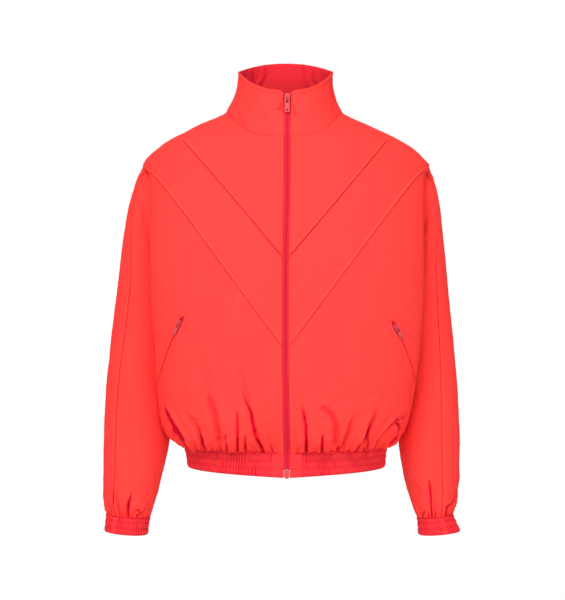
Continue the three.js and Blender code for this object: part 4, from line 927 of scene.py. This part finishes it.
# Sleeves: one run of rings, cut along the long seam and under the arm.
sleeveLook = {"roundFront": 64, "roundBack": 92}
for side in ("right", "left"):
    k = np.concatenate([
        np.linspace(0, 1, 12, endpoint=False), np.linspace(1, 10, 84, endpoint=False),
        np.linspace(10, cuffRing, 60),
    ])[:, None]
    seamAngle = mix(seamStart, ringAt["seam" + side.capitalize()](np.maximum(k - 1, 0)), np.minimum(k, 1))
    for part, count in (("front", sleeveLook["roundFront"]), ("back", sleeveLook["roundBack"])):
        t = np.linspace(0, 1, count)[None, :]
        degrees = mix(seamAngle, 180.0, t) if part == "front" else mix(seamAngle, -180.0, t)
        grid = ringPoint(side, k, degrees)
        core = np.broadcast_to(ringMiddle(side, k), grid.shape)
        height = edgeDistance(grid, 0, "last")
        creased, dark = creaseField(cuffCreases[side], degrees % 360, height, wrap=360, perUnit=0.9)
        arc = degrees * 0.95
        gathers = puckers(arc, height, 400, 9.0, 8.0, 1.6) + puckers(arc, height, 420, 4.4, 4.0, 0.9)
        narrow, narrowDark = foldField((degrees % 360) * cuffScale, height, cuffFolds[side])
        held = smooth((height + 0.3) / 4)
        pressed = creased + gathers + narrow * held
        dark = np.maximum.reduce([dark, narrowDark, seamShade(gathers, arc, height, 480)])
        near = np.exp(-height / 70)
        soft = (0.4 + 1.2 * near) * ripple(arc, height * 0.45, 430, 28)
        way = sign[side] * 55
        soft = soft + 0.5 * wrinkles(arc, height, 440, way, 50, 11) * (0.5 + 1.6 * near)
        soft = (soft + 0.3 * wrinkles(arc, height, 450, -way, 30, 6) * (0.5 + 1.6 * near)) * (0.1 + 0.9 * held)
        seamEdge = edgeDistance(grid, 1, "first")
        ends = smooth(seamEdge / 9) * smooth(edgeDistance(grid, 1, "last") / 9)
        top = smooth(edgeDistance(grid, 0, "first") / 20)
        lift = (pressed + soft) * (0.3 + 0.7 * ends) * (0.2 + 0.8 * top)
        if part == "back":
            lift = lift + lapField(seamEdge, 0.6) * top
        else:
            lift = lift - 0.4 * (1 - smooth(seamEdge / 2.5))
        # painted shade along the long seam and on the inner side of the sleeve next to the body, and a painted
        # highlight on the lapped seam's ridge
        paintedShading = dark + 0.3 * np.exp(-((seamEdge / (1.0 if part == "front" else 0.4)) ** 2))
        inner = smooth((np.abs(degrees) - 118) / 45) * smooth((grid[..., 2] + 470) / 60)
        paintedShading = paintedShading + 0.5 * inner
        if part == "back":
            paintedShading = paintedShading - 0.5 * np.exp(-(((seamEdge - 2.0) / 1.2) ** 2))
        name = f"sleeve_{part}_{side}"
        pieces[name] = makePiece(
            name + "Cloth", grid, nylon, core, lift=lift, thickness=cut["cloth"], paintedShading=np.clip(paintedShading, -1, 1))
        if part == "back":
            column = int(np.argmin(np.abs(seamEdge[60] - lap["stitchAt"])))
            addStitches(pieces[name][1][:, column], pieces[name][2][:, column])
print("sleeves made")

# Elastic bands: three stitched channels, each gathered on its own.
bandLook = {"channels": 3, "puff": 0.9, "gather": 2.0, "pitch": 4.6, "into": 1.0, "slant": 0.55}


def bandField(around, up, plain, seed, look=bandLook):
    # up runs from 0 at the edge to 1 at the seam; each channel puffs out between its
    # stitches, and is gathered in rounded lobes with sharp valleys; the second value is painted shade in the valleys
    # and along the stitched lines
    channel = np.clip(np.floor(up * look["channels"]), 0, look["channels"] - 1)
    inside = up * look["channels"] - channel
    puff = np.clip(np.sin(np.pi * inside), 0, 1) ** 0.5
    slant = look["slant"] * (0.4 + noise(around, channel * 70, seed, 60)) * inside
    phase = around / look["pitch"] + slant + 0.3 * channel + 0.4 * noise(around, channel * 13, seed + 2, 19)
    lobes = np.abs(np.sin(np.pi * phase)) ** 0.75
    uneven = 0.8 + 0.5 * noise(around, channel * 17, seed + 4, 9)
    raised = look["puff"] * puff + look["gather"] * (lobes - 0.7) * plain * uneven * (0.45 + 0.55 * puff)
    paintedShading = plain * (uneven * (1 - lobes) ** 1.2 + 0.25 * (1 - puff)) + 0.25 * (1 - puff)
    return raised - look["into"], paintedShading


def hemPoint(side, near, z):
    quarter = np.where(near < 1, near, 2 - near)
    turn = turnAt(quarter, 0.97)
    spread = np.sin((np.pi / 2) * np.minimum(1, turn))
    flank = section["flank" + side.capitalize()](z)
    edge = cut["zipHalf"] + sign[side] * zipX(z)
    fx, fy = bodyFront(side, mix(edge, flank, spread), z, turn)
    bx, by = bodyBack(side, turn, z)
    ahead = near < 1
    return stack(sign[side] * np.where(ahead, fx, bx), np.where(ahead, fy, by), z)


bandUp = np.append(np.linspace(0, 1, 25), 1.04)[:, None]  # the last row is tucked under the body
around = np.linspace(-2, 2, 1201)[None, :]
near = 2 - np.abs(around)
bandLow = cut["hemBottom"] - cut["hemDip"] * (1 - np.minimum(1, near)) ** 2.2
bandZ = mix(bandLow, cut["hemTop"], bandUp)
bandGrid = np.where((around < 0)[..., None], hemPoint("right", near, bandZ), hemPoint("left", near, bandZ))
bandRun = edgeDistance(bandGrid, 1, "first")
fromZip = np.minimum(bandRun, bandRun[:, -1:] - bandRun)
plain = smooth((fromZip - 14) / 8)
level = bandRun * bandRun[12, -1] / bandRun[:, -1:]
bandLift, bandPaintedShade = bandField(level, np.minimum(bandUp, 1) + 0 * bandRun, plain, 500)
bandLift = np.where(bandUp > 1, -1.8, bandLift)
pieces["hem_band"] = makePiece(
    "hemBandCloth", bandGrid, ribbed, bodyCore(bandGrid), lift=bandLift, thickness=2.0,
    paintedShading=np.clip(bandPaintedShade, 0, 1))
for line in (8, 16):
    addStitches(pieces["hem_band"][1][line], pieces["hem_band"][2][line])

for side in ("right", "left"):
    degrees = np.linspace(0, 360, 420, endpoint=False)[None, :]
    up = np.append(np.linspace(0, 1, 22), 1.04)[:, None]
    grid = ringPoint(side, mix(cuffEdge, cuffRing, up), degrees + 0 * up)
    core = np.broadcast_to(ringMiddle(side, mix(cuffEdge, cuffRing, up)), grid.shape)
    run = edgeDistance(grid, 1, "first")
    total = run[:, -1:]
    seamPlace = float(ringAt["seam" + side.capitalize()](cuffRing - 1))
    off = np.abs(degrees - seamPlace)
    plain = smooth((off - 4) / 5) + 0 * run
    whole = np.round(total / bandLook["pitch"])
    lift, paintedShading = bandField(run * (whole * bandLook["pitch"]) / total, np.minimum(up, 1) + 0 * run, plain, 520)
    lift = np.where(up > 1, -1.8, lift)
    pieces[f"cuff_{side}"] = makePiece(
        f"cuffCloth{side.capitalize()}", grid, ribbed, core, wrap=True, lift=lift + 0.2, thickness=2.0,
        paintedShading=np.concatenate([paintedShading, paintedShading[:, :1]], axis=1))
    for line in (7, 14):
        addStitches(pieces[f"cuff_{side}"][1][line], pieces[f"cuff_{side}"][2][line])
print("bands made")

# The collar: one doubled wall from zip edge to zip edge.
collarUp = np.linspace(-0.02, 1, 53)[:, None]
halfAround = np.linspace(0, 1, 126)
collarGrid = np.concatenate([
    collarPoint("right", collarUp, halfAround[None, :]),
    collarPoint("left", collarUp, halfAround[None, -2::-1]),
], axis=1)
collarRun = edgeDistance(collarGrid, 1, "first")
collarHigh = edgeDistance(collarGrid, 0, "last")
collarLow = edgeDistance(collarGrid, 0, "first")
# creases of the collar, as points round from the zip and up from the neck seam
collarFolds = {
    "right": [
        ([(106, 64), (87, 55)], 4, 1.0, 0.2), ([(83, 48), (70, 40), (58, 31)], 1.6, 0.9, 0.25),
        ([(113, 40), (108, 26), (103, 14)], 1.6, 0.9, 0.25), ([(97, 26), (87, 8)], 1.6, 0.9, 0.3),
        ([(94, 24), (80, 14), (67, 6)], 1.6, 0.8, 0.25), ([(52, 70), (40, 52), (26, 32)], 1.3, 0.7, 0.2),
        ([(68, 63), (45, 64)], 1.5, 0.6, 0.15), ([(14, 45), (7, 46), (3, 55)], 1.6, 1.5, 0.7),
        ([(13, 70), (6, 60)], 1.5, 0.7, 0.2), ([(27, 59), (13, 52)], 1.5, 0.6, 0.15),
        ([(30, 20), (27, 6)], 1.6, 0.8, 0.2),
    ],
    "left": [
        ([(5, 55), (6, 45), (8, 35)], 1.7, 1.2, 0.4), ([(122, 67), (94, 54)], 3, 1.0, 0.2),
        ([(99, 61), (108, 46), (117, 31)], 2.0, 0.9, 0.25), ([(112, 44), (97, 13)], 2.2, 0.9, 0.25),
        ([(9, 68), (24, 71)], 1.5, 0.7, 0.2), ([(20, 30), (40, 44)], 2, 0.6, 0.1),
    ],
}
# and of its inside, behind the neck
liningFolds = {
    "right": [([(206, 92), (214, 60), (208, 30)], 4, 1.2, 0.3), ([(176, 86), (190, 50), (214, 30)], 7, 1.4, 0.5)],
    "left": [([(220, 92), (212, 62), (216, 34)], 4, 1.2, 0.25), ([(186, 88), (196, 60), (190, 36)], 5, 1.2, 0.3)],
}


collarLift = 0.6 * ripple(collarRun, collarHigh * 0.5, 600, 26)
collarLift = collarLift + 0.25 * wrinkles(collarRun, collarHigh, 610, 70, 40, 9)
collarPress, collarDark = 0 * collarRun, 0 * collarRun
for side, run in (("right", collarRun), ("left", collarRun[:, -1:] - collarRun)):
    for lines in (collarFolds[side], liningFolds[side]):
        pressed, dark = foldField(run, collarLow, lines)
        collarPress, collarDark = collarPress + pressed, np.maximum(collarDark, dark)
collarLift = (collarLift + collarPress) * smooth(collarLow / 5) * smooth(collarHigh / 5)
collarEdge = 0.7 * (1 - smooth((collarHigh - 5.2) / 1.6)) - 0.5 * np.exp(-((collarHigh - 6.2) ** 2))
collarLift = collarLift + collarEdge - 0.6 * (1 - smooth(collarLow / 2))
collarMiddle = stack(0 * collarGrid[..., 0], -8 + 0 * collarGrid[..., 1], collarGrid[..., 2])
beside = smooth(np.minimum(collarRun, collarRun[:, -1:] - collarRun) / 60)
# painted shade along the neck seam, weaker towards the zip, and in the topstitching's groove, and a painted highlight
# along the rolled top edge
collarPaintedShading = (0.02 + 0.28 * beside) * np.exp(-(((collarLow - 2) / 1.3) ** 2))
collarPaintedShading = collarPaintedShading + 0.4 * np.exp(-((collarHigh - 6.2) ** 2))
collarPaintedShading = collarPaintedShading - 0.9 * (1 - smooth((collarHigh - 1.5) / 1.5)) * (collarHigh > 0.2)
pieces["collar"] = makePiece(
    "collarCloth", collarGrid, nylon, collarMiddle, lift=collarLift, thickness=cut["collarCloth"],
    paintedShading=np.maximum(collarPaintedShading, collarDark), inside=shadedInside)
line = int(np.argmin(np.abs(collarHigh[:, 60] - 6)))
addStitches(pieces["collar"][1][line], pieces["collar"][2][line])
print("collar made")

for name, (piece, points, normal) in pieces.items():
    a = points[:-1, :-1]
    area = np.linalg.norm(np.cross(points[:-1, 1:] - a, points[1:, :-1] - a), axis=-1).sum() * 1e-6
    settle(piece, name, "elastic" if "cuff" in name or "hem" in name else "shell")

# Zip tapes and coil.
def zipPath(z):
    low = z <= rowAt["centre"](neckRow)
    y = bodyFront("left", cut["zipHalf"], z, np.ones_like(z))[1]
    neckZ, topZ = float(rowAt["centre"](neckRow)), collarTop["frontZ"]
    up = np.clip((z - neckZ) / (topZ - neckZ), 0, 1)
    right, left = (collarPoint(side, up, 0.0 * up) for side in ("right", "left"))
    return stack(zipX(z), np.where(low, y, (right[..., 1] + left[..., 1]) / 2), z)


zipZ = np.linspace(-572.5, 25, 260)
zipCentre = zipPath(zipZ)
zipUp = unit(np.gradient(zipCentre, axis=0))
zipOut = unit(np.cross(np.array([1.0, 0, 0]), zipUp))
tapeCut = {
    "from": 0.2, "to": 15.0, "columns": 15, "depth": 0.75, "under": 2.2, "underFrom": 3.6, "underTo": 6.4,
    "thickness": 0.6,
}
tapeX = np.linspace(tapeCut["from"], tapeCut["to"], tapeCut["columns"])
under = smooth((tapeX - tapeCut["underFrom"]) / (tapeCut["underTo"] - tapeCut["underFrom"]))
tapeDeep = mix(tapeCut["depth"], tapeCut["under"], under)
for side in ("right", "left"):
    x = sign[side] * tapeX
    grid = zipCentre[:, None] + stack(x, 0 * x, 0 * x)[None] - zipOut[:, None] * tapeDeep[None, :, None]
    behind = grid + np.array([0, 40, 0])
    piece, *_ = makePiece(f"zipTapeCloth{side.capitalize()}", grid, tape, behind, thickness=tapeCut["thickness"])
    settle(piece, f"zip_tape_{side}", "zip_tape")

# The coil: each tooth is a short bar that loops across the middle.
toothLook = {"pitch": 1.5, "half": 2.0, "thick": 0.5}
toothZ = np.arange(-570, 14, toothLook["pitch"] / 2)
centre = zipPath(toothZ)
up = unit(np.gradient(centre, axis=0))
out = unit(np.cross(np.array([1.0, 0, 0]), up))
way = np.where(np.arange(len(toothZ)) % 2 == 0, -1.0, 1.0)[:, None]
inner = centre + np.array([1.0, 0, 0]) * way * -0.5
outer = centre + np.array([1.0, 0, 0]) * way * toothLook["half"]
t = toothLook["thick"]
teeth = np.stack([
    inner - up * t * 0.6 - out * 0.7, inner + up * t * 0.6 - out * 0.7,
    outer - up * t * 0.6 - out * 0.7, outer + up * t * 0.6 - out * 0.7,
    inner - up * t * 0.5 + out * 0.25, inner + up * t * 0.5 + out * 0.25,
    outer - up * t * 0.4 - out * 0.1, outer + up * t * 0.4 - out * 0.1,
], axis=1)
toothFaces = np.array([(0, 2, 3, 1), (4, 5, 7, 6), (0, 1, 5, 4), (2, 6, 7, 3), (0, 4, 6, 2), (1, 3, 7, 5)])


def joined(name, blocks, faces, material):
    # many small solids with the same faces in one mesh
    count, corners = blocks.shape[:2]
    ids = (faces[None] + corners * np.arange(count)[:, None, None]).reshape(-1, faces.shape[1])
    mesh = bpy.data.meshes.new(name)
    mesh.from_pydata((blocks.reshape(-1, 3) * mm).tolist(), [], ids.tolist())
    mesh.materials.append(material)
    piece = bpy.data.objects.new(name, mesh)
    bpy.context.scene.collection.objects.link(piece)
    return piece


coil = joined("zipCoil", teeth, toothFaces, tape)
settle(coil, "zip_chain", "zip_tape")

for node in ("zip_slider", "zip_pull", "zip_box", "pocket_slider_right", "pocket_slider_left",
             "pocket_pull_right", "pocket_pull_left"):
    cad = bpy.data.objects[node]
    cad.data.materials.clear()
    cad.data.materials.append(enamel)
# Pockets: two folded lips over a zip, laid on the front panel and parted round the slider.
pockets = {
    "right": {"topShare": 0.742, "topZ": -331.0, "endShare": 0.985, "endZ": -440.0, "seed": 100},
    "left": {"topShare": 0.752, "topZ": -338.0, "endShare": 0.985, "endZ": -436.0, "seed": 200},
}
pocketLook = {
    "mouth": 34.0, "mouthHalf": 3.6, "slit": 0.35, "lip": 7.4, "raise": 1.2, "roll": 0.8, "stitchAt": 5.6,
    "dip": 0.5, "tuck": 0.35, "tapeHalf": 5.2, "tapeRaise": 0.1, "edgeShade": 1.0,
}


def pocketGrid(side, t, offsets):
    # points beside the pocket's line: each is found by its length along the level section of
    # the body, from the place where the line crosses that section
    pocket = pockets[side]
    z = mix(pocket["topZ"], pocket["endZ"], t)
    share = mix(pocket["topShare"], pocket["endShare"], np.clip(t, 0, 1) ** 0.9)
    turn = np.linspace(0.35, 1.5, 700)
    flank = section["flank" + side.capitalize()](z)[:, None]
    spread = np.sin((np.pi / 2) * np.minimum(1, turn))[None, :]
    px, py = bodyFront(side, flank * spread, z[:, None] + 0 * spread, turn[None, :] + 0 * flank)
    step = np.hypot(np.diff(px, axis=1), np.diff(py, axis=1))
    run = np.concatenate([np.zeros((len(z), 1)), np.cumsum(step, axis=1)], axis=1)
    home = np.arcsin(share) * 2 / np.pi
    slant = np.hypot(np.gradient(z), np.gradient(share * flank[:, 0])) / np.abs(np.gradient(z))
    turns = np.stack([
        np.interp(np.interp(home[i], turn, run[i]) + offsets[i] * slant[i], run[i], turn) for i in range(len(z))
    ])
    spread = np.sin((np.pi / 2) * np.minimum(1, turns))
    px, py = bodyFront(side, flank * spread, z[:, None] + 0 * spread, turns)
    grid = stack(sign[side] * px, py, z[:, None])
    share = cut["flankShare"]
    along = np.where(turns < 1, turns * share, share + (turns - 1) * (1 - share))
    pressed, soft, dark = panelFields(side, grid, along, "front", pocket["seed"])
    return grid, pressed + soft, dark


pocketSteps = np.linspace(0, 1, 90)
for side in ("right", "left"):
    ends = pocketGrid(side, pocketSteps, np.zeros((90, 1)))[0][:, 0]
    long = np.linalg.norm(np.diff(ends, axis=0), axis=1).sum()
    part = np.clip(pocketSteps * long / pocketLook["mouth"], 0, 1)
    mouth = pocketLook["mouthHalf"] * np.sin(np.pi * part) ** 0.6 + pocketLook["slit"]
    for name, way in (("front", -1), ("side", 1)):
        reach = np.linspace(0, 1, 22)[None, :] * pocketLook["lip"]
        grid, under, dark = pocketGrid(side, pocketSteps, way * (mouth[:, None] + reach))
        rolled = pocketLook["raise"] * np.sqrt(np.clip(reach / pocketLook["roll"], 0, 1))
        rolled = rolled - pocketLook["dip"] * np.exp(-(((reach - pocketLook["stitchAt"]) / 0.7) ** 2))
        sink = smooth((reach - pocketLook["stitchAt"] - 0.4) / (pocketLook["lip"] - pocketLook["stitchAt"] - 0.4))
        lift = under + rolled - (pocketLook["raise"] + pocketLook["tuck"]) * sink
        # painted shade in the stitching's dip and along the lip's edge beside the slit
        shade = dark + 0.3 * np.exp(-(((reach - pocketLook["stitchAt"]) / 0.7) ** 2))
        shade = shade + pocketLook["edgeShade"] * np.exp(-((reach / 0.8) ** 4))
        node = f"pocket_lip_{name}_{side}"
        piece, points, normal = makePiece(
            f"pocketLip{name.capitalize()}{side.capitalize()}", grid, nylon, bodyCore(grid), lift=lift,
            thickness=0.8, paintedShading=np.clip(shade, -1, 1))
        settle(piece, node, "shell")
        line = int(np.argmin(np.abs(reach[0] - pocketLook["stitchAt"])))
        addStitches(points[:, line], normal[:, line])
    # the tape between the lips is painted in shade, darkest beside the lips' edges
    reach = np.linspace(-1, 1, 9)[None, :] * pocketLook["tapeHalf"] + 0 * mouth[:, None]
    grid, under, dark = pocketGrid(side, pocketSteps, reach)
    teeth = 0.35 * np.exp(-((reach / 1.4) ** 2))
    piece, *_ = makePiece(
        f"pocketTape{side.capitalize()}", grid, tape, bodyCore(grid), lift=under + pocketLook["tapeRaise"] + teeth,
        thickness=0.4, paintedShading=0.7 + 0.3 * np.exp(-((np.abs(reach) - mouth[:, None]) ** 2)))
    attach(piece, "garment")
print("pockets made")

stitching = joined("stitching", np.concatenate(stitchRuns), stitchFaces, thread)
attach(stitching, "garment")
print("stitching made")

# Studio.
studio = {
    "cameraAt": (-5.8, -2400, -305), "lens": 87.27, "floorAt": -1400, "floorHalf": 2600,
    "fill": 0.5, "key": 89, "side": 26, "bounce": 14,
}
floorMesh = bpy.data.meshes.new("floor")
half = studio["floorHalf"] * mm
floorZ = studio["floorAt"] * mm
floorMesh.from_pydata([(-half, -half, floorZ), (half, -half, floorZ), (half, half, floorZ), (-half, half, floorZ)],
                      [], [(0, 1, 2, 3)])
floor = bpy.data.objects.new("floor", floorMesh)
bpy.context.scene.collection.objects.link(floor)
floorMaterial, floorTree, floorShader = newMaterial("pale floor")
floorShader.inputs["Base Color"].default_value = (0.86, 0.86, 0.86, 1)
floorShader.inputs["Roughness"].default_value = 0.9
floorMesh.materials.append(floorMaterial)

world = bpy.data.worlds.new("studio")
bpy.context.scene.world = world
world.use_nodes = True
tree = world.node_tree
background = tree.nodes["Background"]
background.inputs["Color"].default_value = (1, 1, 1, 1)
seen = addNode(tree, "ShaderNodeLightPath", output=0)
feed(tree, background.inputs["Strength"], seen * (1 - studio["fill"]) + studio["fill"])


def softLight(name, place, aim, size, power):
    light = bpy.data.lights.new(name, "AREA")
    light.shape = "RECTANGLE"
    light.size, light.size_y = size
    light.energy = power
    lamp = bpy.data.objects.new(name, light)
    bpy.context.scene.collection.objects.link(lamp)
    lamp.location = Vector(place)
    lamp.rotation_euler = (Vector(aim) - Vector(place)).to_track_quat("-Z", "Y").to_euler()


softLight("key", (-0.9, -2.2, 1.7), (0, 0, -0.3), (1.3, 1.3), studio["key"])
softLight("side", (1.6, -2.2, 0.4), (0, 0, -0.3), (1.4, 1.8), studio["side"])
softLight("bounce", (-0.1, -1.7, -1.32), (0, 0, -0.45), (2.4, 0.7), studio["bounce"])

camera = bpy.data.cameras.new("camera")
camera.lens = studio["lens"]
camera.sensor_width = 36
shot = bpy.data.objects.new("camera", camera)
bpy.context.scene.collection.objects.link(shot)
shot.location = Vector(studio["cameraAt"]) * mm
shot.rotation_euler = (math.radians(90), 0, 0)
bpy.context.scene.camera = shot
bpy.context.scene.view_settings.view_transform = "Standard"
print("studio made")
